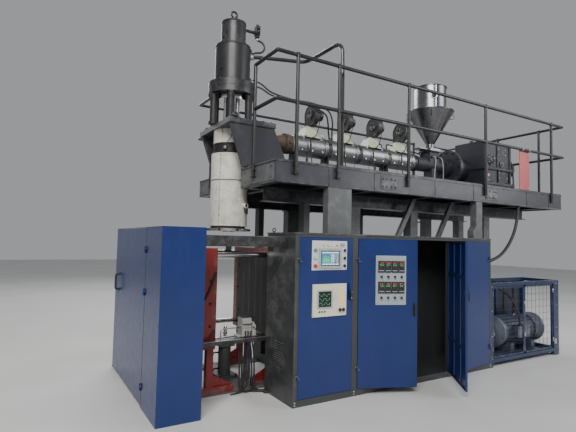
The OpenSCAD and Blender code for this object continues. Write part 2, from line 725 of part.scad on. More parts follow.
module hopper() {
    color([0.62, 0.62, 0.60]) difference() {
        union() {
            block([hopper_x - 120, -120, hopper_z], [hopper_x + 120, 120, hopper_z + 40]);
            rod_z(hopper_z + 40, cone_z0 + 5, hopper_x, 0, throat_bore + 6);
            translate([hopper_x, 0, 0]) rotate_extrude($fn = 64) polygon([
                [throat_bore, cone_z0], [throat_bore + 6, cone_z0], [hopper_r, cone_z1],
                [hopper_r, cone_z1 + 14], [drum_r + 5, cone_z1 + 14], [drum_r, cone_z1 + 20],
                [drum_r, drum_z1 - 10], [drum_r + 8, drum_z1 - 10], [drum_r + 8, drum_z1],
                [drum_r - sheet_t, drum_z1], [drum_r - sheet_t, cone_z1 + 10],
                [hopper_r - 6, cone_z1]]);
        }
        rod_z(hopper_z - 1, cone_z0 + 1, hopper_x, 0, throat_bore);
        block([hopper_x - 125, -80, hopper_z + 14], [hopper_x + 100, 80, hopper_z + 14 + gate_slot]);
    }
}
module hopper_gate() {
    z = hopper_z + 14 + seat;
    color([0.66, 0.66, 0.66]) {
        difference() {
            block([hopper_x - 330, -79, z], [hopper_x - 65, 79, z + gate_t]);
            rod_z(z - 1, z + gate_t + 1, hopper_x - 300, 0, 14);
        }
    }
}
// Screw with one flight and a plain shank in the gearbox's quill
quill_x0 = throat_x1 + 495;
flight_x1 = throat_x1 - 60;
module screw() {
    x0 = barrel_x0 + 60;
    turns = floor((flight_x1 - x0) / screw_pitch);
    flight = turns * screw_pitch;
    color([0.62, 0.62, 0.64]) translate([x0, 0, axis_z]) rotate([0, 90, 0]) {
        linear_extrude(flight, twist = -360 * turns, slices = 5 * turns, $fn = 8) screw_section();
        translate([0, 0, flight]) cylinder(h = throat_x1 - x0 - flight, r = screw_r);
        translate([0, 0, throat_x1 - x0]) cylinder(h = 150, r = screw_r * 0.6);
        translate([0, 0, -50]) cylinder(h = 50, r1 = 4, r2 = screw_r * 0.5);
    }
}
module screw_section() {
    root = screw_r * 0.6;
    tip = screw_r - 0.5;
    polygon(concat([for (a = [40 : 40 : 320]) root * [cos(a), sin(a)]],
        [for (a = [-7, 7]) tip * [cos(a), sin(a)]]));
}
// Gearbox with its bell towards the throat
gear_x0 = quill_x0;
gear_len = 750;
gear_h = 740;
gear_x1 = gear_x0 + gear_len;
gear_y0 = -450;
gear_y1 = 130;
gear_z0 = deck_z + 175;
gear_z1 = gear_z0 + gear_h;
module gearbox() {
    color([0.21, 0.23, 0.28]) difference() {
        union() {
            block([gear_x0, gear_y0, gear_z0], [gear_x1, gear_y1, gear_z1]);
            rod_x(throat_x1, throat_x1 + 100, 0, axis_z, 160);
            rod_x(throat_x1 + 100, throat_x1 + 160, 0, axis_z, 300);
            rod_x(throat_x1 + 160, throat_x1 + 300, 0, axis_z, 230);
            rod_x(throat_x1 + 300, gear_x0, 0, axis_z, 190);
            // Flange round the split line and feet
            block([gear_x0 - 25, gear_y0 - 25, axis_z - 20], [gear_x1, gear_y1 + 25, axis_z + 20]);
            block([gear_x0 - 40, gear_y0 - 40, gear_z0], [gear_x1 + 40, gear_y1 + 40, gear_z0 + 40]);
            for (x = [gear_x0 + 60, gear_x0 + 360, gear_x1 - 75]) {
                block([x, gear_y0 - 22, gear_z0], [x + 16, gear_y1 + 22, axis_z]);
            }
            // Breather cap and lifting lugs
            rod_z(gear_z1, gear_z1 + 45, gear_x0 + 220, -160, 35);
            for (x = [gear_x0 + 80, gear_x1 - 100]) block([x, -170, gear_z1], [x + 20, -110, gear_z1 + 50]);
        }
        rod_x(throat_x1 - 1, throat_x1 + 160, 0, axis_z, screw_r * 0.6 + run);
    }
    // Stool under the gearbox
    color([0.21, 0.23, 0.28]) difference() {
        block([gear_x0 - 20, gear_y0 - 20, deck_z], [gear_x1 + 20, gear_y1 + 20, gear_z0]);
        block([gear_x0 + 40, gear_y0 - 21, deck_z + 20], [gear_x1 - 40, gear_y1 + 21, gear_z0 - 25]);
    }
}
drive_y = -170;
drive_z = gear_z0 + 356;
drive_x1 = gear_x1 + 270;
module drive_motor() {
    color([0.08, 0.08, 0.09]) {
        rod_x(gear_x1, gear_x1 + 30, drive_y, drive_z, 185);
        rod_x(gear_x1 + 30, drive_x1 - 20, drive_y, drive_z, 160);
        rod_x(drive_x1 - 20, drive_x1, drive_y, drive_z, 170);
        for (a = [0 : 24 : 359]) translate([gear_x1 + 30, drive_y, drive_z]) rotate([a, 0, 0])
            translate([0, -3, 150]) cube([drive_x1 - gear_x1 - 50, 6, 17]);
    }
}

// Clamp unit with tie bars along the machine and two sprung-apart platens
rail_t = 20;
end_t = 80;
clamp_x0 = guard_x1 - 2 - end_t;
clamp_x1 = 2 * head_x - clamp_x0;
tie_y = 530;
tie_z = [platen_low + 75, platen_top - 75];
ram_z = (platen_low + platen_top) / 2;
clamp_ram_r = 40;
module clamp_bed() {
    color([0.3, 0.31, 0.32]) {
        for (y = [-576, 410]) block([clamp_x0, y, 0], [clamp_x1, y + 166, rail_t]);
        for (x = [clamp_x0, clamp_x1 - end_t]) block([x, -410, 0], [x + end_t, 410, rail_t]);
        block([head_x - 130, -410, 0], [head_x + 130, 410, rail_t]);
    }
}
module end_plate(x) {
    difference() {
        block([x, -platen_w / 2, rail_t], [x + end_t, platen_w / 2, platen_top]);
        for (s = [-1, 1], z = tie_z) rod_x(x - 1, x + end_t + 1, s * tie_y, z, tie_r + run);
        rod_x(x - 1, x + end_t + 1, 0, ram_z, clamp_ram_r + run);
        block([x - 1, -380, 120], [x + end_t + 1, 380, platen_low - 40]);
    }
}
module end_plates() {
    color([0.3, 0.31, 0.32]) {
        end_plate(clamp_x0);
        end_plate(clamp_x1 - end_t);
        // The right plate's horns carry the platform near the head
        for (s = [-1, 1]) block([clamp_x1 - end_t, s * beam_y - 60, platen_top - 30],
            [clamp_x1, s * beam_y + 60, beam_z0]);
    }
}
cyl_len = 268;
module clamp_cylinders() {
    color([0.22, 0.22, 0.24]) for (m = [0, 1]) mirrored(m) difference() {
        union() {
            rod_x(clamp_x0 - cyl_len, clamp_x0, 0, ram_z, clamp_cyl_r);
            rod_x(clamp_x0 - 30, clamp_x0, 0, ram_z, clamp_cyl_r + 35);
        }
        rod_x(clamp_x0 - cyl_len + 12, clamp_x0 - 15, 0, ram_z, clamp_cyl_r - 25);
        rod_x(clamp_x0 - 20, clamp_x0 + 1, 0, ram_z, clamp_ram_r + run);
    }
}
// Mirrors its children about the plane through the head's axis when m is 1
module mirrored(m) {
    if (m == 0) children();
    else translate([2 * head_x, 0, 0]) mirror([1, 0, 0]) children();
}
module tie_bars() {
    color([0.66, 0.66, 0.68]) for (s = [-1, 1], z = tie_z) {
        rod_x(clamp_x0 - 55, clamp_x1 + 55, s * tie_y, z, tie_r);
        translate([clamp_x0 - 40, s * tie_y, z]) rotate([0, 90, 0])
            cylinder(h = 40, r = tie_r + 22, $fn = 6);
        translate([clamp_x1, s * tie_y, z]) rotate([0, 90, 0]) cylinder(h = 40, r = tie_r + 22, $fn = 6);
    }
}
leg_t = 70;
foot_h = 70;
bolt_y = 400;
bolt_z = 300;
mould_bolt_r = 9;
module platen(leg_y) {
    face = head_x - open_gap / 2;
    back = face - platen_t;
    piston_x = clamp_x0 - cyl_len + 20;
    difference() {
        union() {
            block([back, -platen_w / 2, platen_low], [face, platen_w / 2, platen_top]);
            // Bosses that lengthen the tie bars' guides
            for (s = [-1, 1], z = tie_z) rod_x(back - 30, back + 1, s * tie_y, z, tie_r + 28);
        }
        for (s = [-1, 1], z = tie_z) rod_x(back - 31, face + 1, s * tie_y, z, tie_r + run);
        for (sy = [-1, 1], sz = [-1, 1])
            rod_x(face - 60, face + 1, sy * bolt_y, ram_z + sz * bolt_z, mould_bolt_r);
        // Pockets cast into the back
        for (sy = [-1, 1], sz = [-1, 1]) {
            y0 = sy * 270;
            z0 = ram_z + sz * 235;
            block([back - 1, y0 - 130, z0 - 130], [back + 55, y0 + 130, z0 + 130]);
        }
    }
    rod_x(piston_x, back + 1, 0, ram_z, clamp_ram_r);
    rod_x(piston_x, piston_x + 30, 0, ram_z, clamp_cyl_r - 25 - run);
    for (s = [-1, 1]) platen_leg(back, s * leg_y);
}
// Leg with a foot bar that slides on the bed, and its gusset
module platen_leg(back, y) {
    block([back + 56, y - leg_t / 2, rail_t + seat], [back + 131, y + leg_t / 2, platen_low + 1]);
    block([back - 18, y - leg_t / 2, rail_t + seat], [back + 375, y + leg_t / 2, rail_t + foot_h]);
    translate([0, y + 12, 0]) rotate([90, 0, 0]) linear_extrude(24)
        polygon([[back + 130, rail_t + foot_h - 1], [back + 370, rail_t + foot_h - 1],
            [back + 130, rail_t + foot_h + 125]]);
}
module left_platen() {
    color([0.72, 0.16, 0.10]) platen(536);
}
module right_platen() {
    color([0.72, 0.16, 0.10]) mirrored(1) platen(450);
}
table_z = platen_low - 90;
pin_r = 20;
module blow_table() {
    color([0.4, 0.41, 0.42]) difference() {
        union() {
            block([head_x - 120, -150, rail_t], [head_x + 120, 150, rail_t + 25]);
            rod_z(rail_t + 25, table_z, head_x, 0, 75);
            block([head_x - 95, -95, table_z - 30], [head_x + 95, 95, table_z]);
        }
        rod_z(rail_t + 40, table_z + 1, head_x, 0, pin_r + run);
    }
}
module blow_pin() {
    color([0.75, 0.75, 0.76]) {
        rod_z(rail_t + 60, table_z + 190, head_x, 0, pin_r);
        rod_z(table_z + 60, table_z + 75, head_x, 0, 42);
        translate([head_x, 0, table_z + 190]) cylinder(h = 25, r1 = pin_r, r2 = 9);
    }
}
// Pale valve manifold on a shelf over the front lower tie bar
shelf_z = tie_z[0] + tie_r + seat;
module valve_manifold() {
    y1 = -tie_y + 40;
    y0 = -platen_w / 2 - 50;
    color([0.80, 0.80, 0.78]) {
        block([head_x - 30, y0, 0], [head_x + 30, y0 + 45, shelf_z]);
        block([head_x - 75, y0, 0], [head_x + 75, y0 + 45, 12]);
        block([head_x - 110, y0, shelf_z], [head_x + 110, y1, shelf_z + 8]);
        for (i = [0 : 5]) block([head_x - 66 + 18 * i, y0 + 15, shelf_z + 8],
            [head_x - 52 + 18 * i, y1 - 15, shelf_z + 205 - 6 * (i % 2)]);
        block([head_x - 60, y0 + 22, shelf_z + 8], [head_x + 45, y1 - 22, shelf_z + 180]);
        block([head_x + 60, y0 + 20, shelf_z + 8], [head_x + 80, y1 - 30, shelf_z + 150]);
        block([head_x + 86, y0 + 25, shelf_z + 8], [head_x + 100, y1 - 35, shelf_z + 120]);
    }
}

// Guard enclosure at the left end
strip_y1 = guard_y0 + guard_strip;
frame_w = 40;
hinge_r = 9;
hinge_pin_r = 4;
guard_hinge_z = [200, 1126, 1546];
guard_hinge_x = guard_x0 - hinge_r - 1;
track_z0 = guard_h - 170;
track_z1 = track_z0 + 105;
module guard_enclosure() {
    x_in = guard_x0 + sheet_t;
    color([0.10, 0.22, 0.50]) {
        block([guard_x0, guard_y0, 0], [guard_x1, guard_y0 + sheet_t, guard_h]);
        block([guard_x0, guard_y0, 0], [x_in, strip_y1 - door_gap / 2, guard_h]);
        block([guard_x0 + 30, guard_y0, guard_h - sheet_t], [guard_x1, guard_y1, guard_h]);
        block([guard_x0, guard_y1 - sheet_t, 0], [guard_x1, guard_y1, guard_h]);
        for (x = [guard_x0 + 30, guard_x1 - frame_w], y = [guard_y0, guard_y1 - frame_w])
            block([x, y, 0], [x + frame_w, y + frame_w, guard_h]);
        block([guard_x0 + 30, strip_y1 - frame_w, 0],
            [guard_x0 + 30 + frame_w, strip_y1 - door_gap, guard_h]);
        block([x_in, strip_y1 - frame_w, 0], [guard_x0 + 31, strip_y1 - door_gap, guard_h]);
        for (z = [0, guard_h - frame_w]) {
            block([guard_x0 + 30, guard_y0, z], [guard_x0 + 30 + frame_w, guard_y1, z + frame_w]);
            for (s = [-1, 1]) {
                y0 = min(s * (platen_w / 2 + 20), s * (s < 0 ? -guard_y0 : guard_y1));
                y1 = max(s * (platen_w / 2 + 20), s * (s < 0 ? -guard_y0 : guard_y1));
                block([guard_x1 - frame_w, y0, z], [guard_x1, y1, z + frame_w]);
            }
        }
        // Track across the operator's opening
        block([guard_x1, guard_y0, track_z0], [cabinet_x0, guard_y0 + 5, track_z1]);
        block([guard_x1, guard_y0, track_z0], [cabinet_x0, guard_y0 + 45, track_z0 + 5]);
        block([guard_x1, guard_y0, track_z1 - 5], [cabinet_x0, guard_y0 + 45, track_z1]);
        for (z = guard_hinge_z) translate([guard_hinge_x, strip_y1, z]) rotate([0, 0, 90])
            mirror([0, 1, 0]) fixed_knuckle();
    }
}
// Hinge halves with the axis at the origin; the fixed leaf lies towards -X and the door's towards +X
knuckle_h = 32;
leaf_w = 34;
module fixed_knuckle() {
    rod_z(seat, knuckle_h, 0, 0, hinge_r);
    rod_z(-knuckle_h, knuckle_h, 0, 0, hinge_pin_r);
    block([-leaf_w, hinge_r - 4, seat], [-2, hinge_r + 1, knuckle_h]);
    block([-hinge_r, 0, seat], [0, hinge_r + 1, knuckle_h]);
}
module door_knuckle() {
    difference() {
        union() {
            rod_z(-knuckle_h, 0, 0, 0, hinge_r);
            block([2, hinge_r - 4, -knuckle_h], [leaf_w, hinge_r + 1, 0]);
            block([0, 0, -knuckle_h], [hinge_r, hinge_r + 1, 0]);
        }
        rod_z(-knuckle_h - 1, 1, 0, 0, hinge_pin_r + run);
    }
}
handle_y = 760;
handle_z0 = guard_h - 750;
handle_z1 = handle_z0 + 192;
module guard_door() {
    y0 = strip_y1 + door_gap / 2;
    y1 = guard_y1 - sheet_t - door_gap;
    z0 = 25;
    z1 = guard_h - 3;
    color([0.10, 0.22, 0.50]) {
        difference() {
            block([guard_x0, y0, z0], [guard_x0 + 27, y1, z1]);
            block([guard_x0 + sheet_t, y0 + sheet_t, z0 + sheet_t],
                [guard_x0 + 28, y1 - sheet_t, z1 - sheet_t]);
        }
        for (z = [guard_h / 3, guard_h * 2 / 3]) {
            block([guard_x0 + 1, y0 + 1, z], [guard_x0 + 22, y1 - 1, z + 50]);
        }
        for (z = guard_hinge_z) translate([guard_hinge_x, strip_y1, z]) rotate([0, 0, 90])
            mirror([0, 1, 0]) door_knuckle();
        // Pull handle
        for (z = [handle_z0, handle_z1 - 14]) {
            block([guard_x0 - 48, handle_y - 14, z], [guard_x0 + 1, handle_y + 14, z + 14]);
        }
        block([guard_x0 - 48, handle_y - 14, handle_z0], [guard_x0 - 38, handle_y + 14, handle_z1]);
    }
}

// Electric cabinet with its posts, plinth and lintel
post_1 = cabinet_x0 + 50;
post_2a = cabinet_x0 + 742;
post_2b = cabinet_x0 + 818;
post_3a = cabinet_x1 - 850;
post_3b = post_3a + 30;
post_4 = cabinet_x1 - 30;
door_z0 = plinth_h + 5;
door_z1 = cabinet_h - lintel_h - 3;
door_hinge_z = [292, 1474];
door_pin_y = cabinet_y0 - hinge_r - 1;
gland_y = cabinet_y0 + 170;
gland_z = 1425;
module cabinet_frame() {
    color([0.40, 0.43, 0.42]) {
        for (p = [[cabinet_x0, post_1], [post_2a, post_2b], [post_3a, post_3b], [post_4, cabinet_x1]]) {
            block([p[0], cabinet_y0, 0], [p[1], cabinet_y0 + post_depth, cabinet_h]);
        }
        for (x = [cabinet_x0, cabinet_x1 - 40]) {
            block([x, cabinet_y1 - 40, 0], [x + 40, cabinet_y1, cabinet_h]);
            for (z = [0, cabinet_h - 40]) block([x, cabinet_y0, z], [x + 40, cabinet_y1, z + 40]);
        }
        for (y = [cabinet_y0, cabinet_y1 - 40]) {
            block([cabinet_x0, y, 0], [cabinet_x1, y + 40, plinth_h]);
            block([cabinet_x0, y, cabinet_h - lintel_h], [cabinet_x1, y + 40, cabinet_h]);
        }
        // Side, back, floor and top sheets
        for (x = [cabinet_x0, cabinet_x1 - sheet_t]) {
            block([x, cabinet_y0, 0], [x + sheet_t, cabinet_y1, cabinet_h]);
        }
        block([cabinet_x0, cabinet_y1 - sheet_t, 0], [cabinet_x1, cabinet_y1, cabinet_h]);
        block([cabinet_x0, cabinet_y0, plinth_h - sheet_t], [cabinet_x1, cabinet_y1, plinth_h]);
        block([cabinet_x0, cabinet_y0, cabinet_h - sheet_t], [cabinet_x1, cabinet_y1, cabinet_h]);
        rod_x(cabinet_x1 - 1, cabinet_x1 + 30, gland_y, gland_z, 36);
        for (z = door_hinge_z) {
            translate([post_1, door_pin_y, z]) fixed_knuckle();
            translate([post_2b, door_pin_y, z]) fixed_knuckle();
            translate([post_3a, door_pin_y, z]) mirror([1, 0, 0]) fixed_knuckle();
            translate([post_4, door_pin_y, z]) mirror([1, 0, 0]) fixed_knuckle();
        }
    }
}
// A door leaf of width w, hinged at its own origin and reaching towards +X
leaf_d = 22;
module leaf(w) {
    translate([0, hinge_r + 1, 0]) {
        difference() {
            block([door_gap, 0, door_z0], [w - door_gap, leaf_d, door_z1]);
            block([door_gap + sheet_t, sheet_t, door_z0 + sheet_t],
                [w - door_gap - sheet_t, leaf_d + 1, door_z1 - sheet_t]);
        }
        for (z = [door_z0 + 420, door_z1 - 420]) {
            block([door_gap + 1, 1, z], [w - door_gap - 1, leaf_d - 4, z + 35]);
        }
    }
    for (z = door_hinge_z) translate([0, 0, z]) door_knuckle();
}
module at_door(n) {
    if (n == 1) translate([post_1, door_pin_y, 0]) children();
    if (n == 2) translate([post_2b, door_pin_y, 0]) rotate([0, 0, -door_2_ajar]) children();
    if (n == 3) translate([post_3a, door_pin_y, 0]) rotate([0, 0, door_3_open]) mirror([1, 0, 0]) children();
    if (n == 4) translate([post_4, door_pin_y, 0]) rotate([0, 0, door_4_ajar]) mirror([1, 0, 0]) children();
}
door_w1 = post_2a - post_1;
door_w2 = 697;
door_w3 = post_3a - post_2b - door_w2;
door_w4 = post_4 - post_3b;
module door_1() {
    color([0.07, 0.16, 0.42]) at_door(1) leaf_with_spindle(door_w1);
}
module door_2() {
    color([0.07, 0.16, 0.42]) at_door(2) leaf(door_w2);
}
module door_3() {
    color([0.07, 0.16, 0.42]) at_door(3) leaf_with_spindle(door_w3);
}
module door_4() {
    color([0.07, 0.16, 0.42]) at_door(4) leaf(door_w4);
}
// Swing handles, pivoted on a spindle through the leaf
spindle_r = 8;
lock_z = 1127;
lock_in = 35;
lock_y = hinge_r + 1;
module leaf_with_spindle(w) {
    difference() {
        union() {
            leaf(w);
            block([w - lock_in - 16, lock_y - 14, lock_z - 88], [w - lock_in + 16, lock_y, lock_z + 88]);
        }
        rod_y(lock_y - 20, 40, w - lock_in, lock_z, spindle_r + run);
    }
}
module swing_handle(w) {
    rod_y(lock_y - 20, lock_y + leaf_d + 12, w - lock_in, lock_z, spindle_r);
    block([w - lock_in - 11, lock_y - 34, lock_z - 80], [w - lock_in + 11, lock_y - 14 - seat, lock_z + 20]);
    block([w - lock_in - 11, lock_y + leaf_d + 3, lock_z - 28],
        [w - lock_in + 11, lock_y + leaf_d + 10, lock_z + 28]);
}
module door_1_handle() {
    color([0.05, 0.05, 0.06]) at_door(1) swing_handle(door_w1);
}
module door_3_handle() {
    color([0.05, 0.05, 0.06]) at_door(3) swing_handle(door_w3);
}

// Operator panels on the first door
panel_t = 6;
panel_y = cabinet_y0 - panel_t;
screen_x0 = cabinet_x0 + 198;
screen_w = 457;
screen_z0 = 1368;
screen_h = 308;
button_r = 16;
button_x = screen_x0 + 44;
stop_z = screen_z0 + 44;
start_z = screen_z0 + 208;
module screen_panel() {
    color([0.82, 0.84, 0.83]) difference() {
        union() {
            block([screen_x0, panel_y, screen_z0],
                [screen_x0 + screen_w, cabinet_y0 - seat, screen_z0 + screen_h]);
            block([screen_x0 + 88, panel_y - 8, screen_z0 + 22],
                [screen_x0 + 376, panel_y, screen_z0 + 222]);
            for (z = [stop_z, stop_z + 82, start_z]) {
                rod_y(panel_y - 10, panel_y, screen_x0 + screen_w - 38, z, 14);
            }
            rod_y(panel_y - 8, panel_y, button_x, stop_z + 82, button_r);
        }
        block([screen_x0 + 106, panel_y - 9, screen_z0 + 40],
            [screen_x0 + 358, panel_y - 4, screen_z0 + 204]);
        for (z = [stop_z, start_z]) rod_y(panel_y - 1, cabinet_y0, button_x, z, button_r * 0.5 + run);
    }
}
module push_button(z, r) {
    rod_y(panel_y - 14, panel_y - 6, button_x, z, r);
    rod_y(panel_y - 7, panel_y + 1, button_x, z, button_r * 0.5);
}
module start_button() {
    color([0.10, 0.55, 0.25]) push_button(start_z, button_r);
}
module stop_button() {
    color([0.80, 0.10, 0.12]) push_button(stop_z, button_r + 4);
}
controller_x0 = cabinet_x0 + 212;
controller_w = 433;
controller_z0 = 885;
controller_h = 337;
module controller_panel() {
    color([0.86, 0.85, 0.76]) difference() {
        union() {
            block([controller_x0, panel_y - 12, controller_z0],
                [controller_x0 + controller_w, cabinet_y0 - seat, controller_z0 + controller_h]);
            for (dx = [340, 386]) {
                rod_y(panel_y - 24, panel_y - 12, controller_x0 + dx, controller_z0 + 62, 16);
            }
            for (x = [262, 296], z = [120 : 40 : 240]) translate([controller_x0 + x, 0, controller_z0 + z]) {
                block([0, panel_y - 15, 0], [24, panel_y - 12, 24]);
            }
        }
        block([controller_x0 + 66, panel_y - 13, controller_z0 + 98],
            [controller_x0 + 232, panel_y - 6, controller_z0 + 262]);
    }
}
// Temperature controllers on the second door
temp_x0 = 200;
temp_w = 355;
temp_z0 = 980;
temp_h = 545;
module temperature_panel() {
    y1 = hinge_r + 1 - seat;
    color([0.62, 0.65, 0.66]) at_door(2) {
        block([temp_x0, y1 - panel_t, temp_z0], [temp_x0 + temp_w, y1, temp_z0 + temp_h]);
        for (i = [0 : 3], z = [temp_z0 + 130, temp_z0 + 360]) {
            block([temp_x0 + 28 + 78 * i, y1 - panel_t - 9, z],
                [temp_x0 + 98 + 78 * i, y1 - panel_t, z + 125]);
            rod_y(y1 - panel_t - 16, y1 - panel_t, temp_x0 + 63 + 78 * i, z - 48, 11);
        }
    }
}
// Plate with switchgear inside the cabinet
module mounting_plate() {
    y1 = cabinet_y1 - 40;
    x0 = post_2b + 60;
    x1 = post_3a - 60;
    z0 = 180;
    z1 = 1620;
    plate_len = x1 - x0;
    pitch_9 = (plate_len - 30) / 9;
    pitch_7 = (plate_len - 85) / 7;
    color([0.70, 0.70, 0.66]) {
        block([x0, y1 - 3, z0], [x1, y1, z1]);
        for (z = [z0 + 60, z1 - 90], x = [x0 + 20, x1 - 60]) block([x, y1, z], [x + 40, y1 + 37, z + 30]);
        for (i = [0 : 8]) {
            block([x0 + 40 + pitch_9 * i, y1 - 90, 1300], [x0 + pitch_9 * (i + 1), y1 - 3, 1500]);
        }
        for (i = [0 : 6]) {
            block([x0 + 60 + pitch_7 * i, y1 - 70, 1000], [x0 + 15 + pitch_7 * (i + 1), y1 - 3, 1160]);
        }
        block([x0 + 40, y1 - 110, 560], [x0 + 0.304 * plate_len, y1 - 3, 880]);
        block([x0 + 0.377 * plate_len, y1 - 120, 520], [x0 + 0.623 * plate_len, y1 - 3, 900]);
        block([x0 + 0.696 * plate_len, y1 - 90, 600], [x0 + 0.913 * plate_len, y1 - 3, 860]);
        for (z = [930, 1220, 1540]) block([x0 + 30, y1 - 50, z], [x1 - 30, y1 - 3, z + 40]);
        block([x0 + 30, y1 - 60, 300], [x1 - 30, y1 - 3, 370]);
    }
}

// Motor cage at the right of the cabinet
cage_x0 = cabinet_x1 + 0.5;
cage_x1 = cage_x0 + cage_len;
cage_y0 = cabinet_y0;
cage_y1 = cabinet_y1;
cage_bar = 50;
cage_z0 = 60;
module motor_cage() {
    color([0.10, 0.20, 0.50]) {
        for (y = [cage_y0, cage_y1 - cage_bar]) {
            block([cage_x0, y, 0], [cage_x0 + cage_bar, y + cage_bar, cage_h]);
            for (z = [cage_z0, cage_h - cage_bar]) {
                block([cage_x0, y, z], [cage_x1, y + cage_bar, z + cage_bar]);
            }
        }
        block([cage_x1 - 140, cage_y0, 0], [cage_x1, cage_y0 + cage_bar, cage_h]);
        block([cage_x1 - cage_bar, cage_y1 - cage_bar, 0], [cage_x1, cage_y1, cage_h]);
        for (x = [cage_x0, cage_x1 - cage_bar], z = [cage_z0, cage_h - cage_bar])
            block([x, cage_y0, z], [x + cage_bar, cage_y1, z + cage_bar]);
        // Back wall with its stiffener, and the floor tray
        block([cage_x0, cage_y1 - sheet_t, cage_z0], [cage_x1, cage_y1, cage_h]);
        block([cage_x0 + 934, cage_y1 - 40, cage_z0], [cage_x0 + 984, cage_y1, cage_h]);
        block([cage_x0, cage_y0, cage_z0], [cage_x1, cage_y1, cage_z0 + 6]);
    }
}
mesh_pitch = 100;
module cage_mesh() {
    x0 = cage_x0 + cage_bar;
    x1 = cage_x1 - 140;
    z0 = cage_z0 + cage_bar;
    z1 = cage_h - cage_bar;
    y = cage_y0 + 20;
    color([0.45, 0.50, 0.60]) {
        for (x = [x0 + mesh_pitch / 2 : mesh_pitch : x1 - 5]) block([x, y, z0], [x + 3, y + 3, z1]);
        for (z = [z0 + mesh_pitch / 2 : mesh_pitch : z1 - 5]) block([x0, y, z], [x1, y + 3, z + 3]);
        for (x = [x0, x1 - 12]) block([x, y, z0], [x + 12, y + 3, z1]);
        for (z = [z0, z1 - 12]) block([x0, y, z], [x1, y + 3, z + 12]);
    }
}
// Pump motor lying along the machine, with the pump at its left
motor_y = -960;
motor_z = cage_z0 + 6 + 120 + motor_r;
motor_x0 = cage_x0 + 533.5;
motor_len = 750;
motor_x1 = motor_x0 + motor_len;
pump_x1 = motor_x0 - 190;
pump_x0 = pump_x1 - 230;
shaft_r = 30;
module pump_motor() {
    z0 = cage_z0 + 6;
    color([0.10, 0.22, 0.52]) {
        difference() {
            union() {
                rod_x(motor_x0 - 60, motor_x1, motor_y, motor_z, motor_r - 22);
                rod_x(motor_x0 - 60, motor_x0, motor_y, motor_z, motor_r);
                rod_x(motor_x1 - 40, motor_x1 + 180, motor_y, motor_z, motor_r);
                for (a = [0 : 15 : 359]) translate([motor_x0 - 1, motor_y, motor_z]) rotate([a, 0, 0])
                    translate([0, -3, motor_r - 30]) cube([motor_x1 - motor_x0 - 38, 6, 30]);
                block([motor_x0 + 150, motor_y - 270, motor_z - 60],
                    [motor_x0 + 420, motor_y, motor_z + 90]);
                for (x = [motor_x0 + 60, motor_x1 - 180]) block([x, motor_y - motor_r, z0 + 40],
                    [x + 90, motor_y + motor_r, motor_z - motor_r * 0.7]);
            }
            rod_x(motor_x0 - 61, motor_x0 - 20, motor_y, motor_z, shaft_r + run);
            rod_x(motor_x1 + 100, motor_x1 + 181, motor_y, motor_z, motor_r - 12);
        }
        block([pump_x0 - 30, motor_y - 250, z0], [motor_x1 + 60, motor_y + 230, z0 + 40]);
        // Pump and its pedestal
        difference() {
            union() {
                rod_x(pump_x0, pump_x1, motor_y, motor_z, 110);
                block([pump_x0 + 70, motor_y - 90, z0 + 40], [pump_x0 + 170, motor_y + 90, motor_z - 60]);
            }
            rod_x(pump_x1 - 40, pump_x1 + 1, motor_y, motor_z, shaft_r + run);
        }
    }
}
module pump_coupling() {
    color([0.55, 0.56, 0.58]) {
        rod_x(pump_x1 - 35, motor_x0 - 25, motor_y, motor_z, shaft_r);
        rod_x(pump_x1 + 15, pump_x1 + 60, motor_y, motor_z, 70);
        rod_x(pump_x1 + 64, pump_x1 + 105, motor_y, motor_z, 70);
        rod_x(pump_x1 + 60, pump_x1 + 64, motor_y, motor_z, 62);
    }
}
cable_x1 = cabinet_x1 + 914;
cable_points = [[cabinet_x1 + 30 + seat, gland_y, gland_z], [cabinet_x1 + 60, gland_y, gland_z],
    [cabinet_x1 + 100, gland_y, gland_z],
    [cabinet_x1 + 264, gland_y, gland_z + 25], [cable_x1 - 430, gland_y, gland_z + 105],
    [cable_x1 - 240, gland_y, gland_z + 255], [cable_x1 - 100, gland_y, gland_z + 445],
    [cable_x1 - 20, gland_y, gland_z + 655], [cable_x1, gland_y, fascia_z0 - 80],
    [cable_x1, gland_y, fascia_z0 - 30], [cable_x1, gland_y, fascia_z0 - seat]];
module cable_hose() {
    color([0.05, 0.05, 0.06]) hose(smooth(cable_points, 4), 22, [0, 1, 0], 10);
}

base_frame();
platform_columns();
platform_frame();
deck_plate();
guard_rails();
access_ladder();
red_rail_plate();
head_bracket();
head_cylinder();
heater_covers();
die_ring();
die_pin();
head_tie_posts();
melt_plunger();
accumulator_cylinder();
upper_cylinder();
valve_block();
head_hoses();
main_hydraulic_pipe();
extruder_barrel();
adapter();
barrel_covers();
barrel_stands();
cooling_cowls();
blowers();
feed_throat();
hopper();
hopper_gate();
screw();
gearbox();
drive_motor();
clamp_bed();
end_plates();
clamp_cylinders();
tie_bars();
left_platen();
right_platen();
blow_table();
blow_pin();
valve_manifold();
guard_enclosure();
guard_door();
cabinet_frame();
door_1();
door_2();
door_3();
door_4();
door_1_handle();
door_3_handle();
screen_panel();
controller_panel();
temperature_panel();
start_button();
stop_button();
mounting_plate();
motor_cage();
cage_mesh();
pump_motor();
pump_coupling();
cable_hose();
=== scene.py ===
"""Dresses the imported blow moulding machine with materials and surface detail."""
import itertools
import json
import math
import random

import bmesh
import bpy
from mathutils import Matrix, Vector


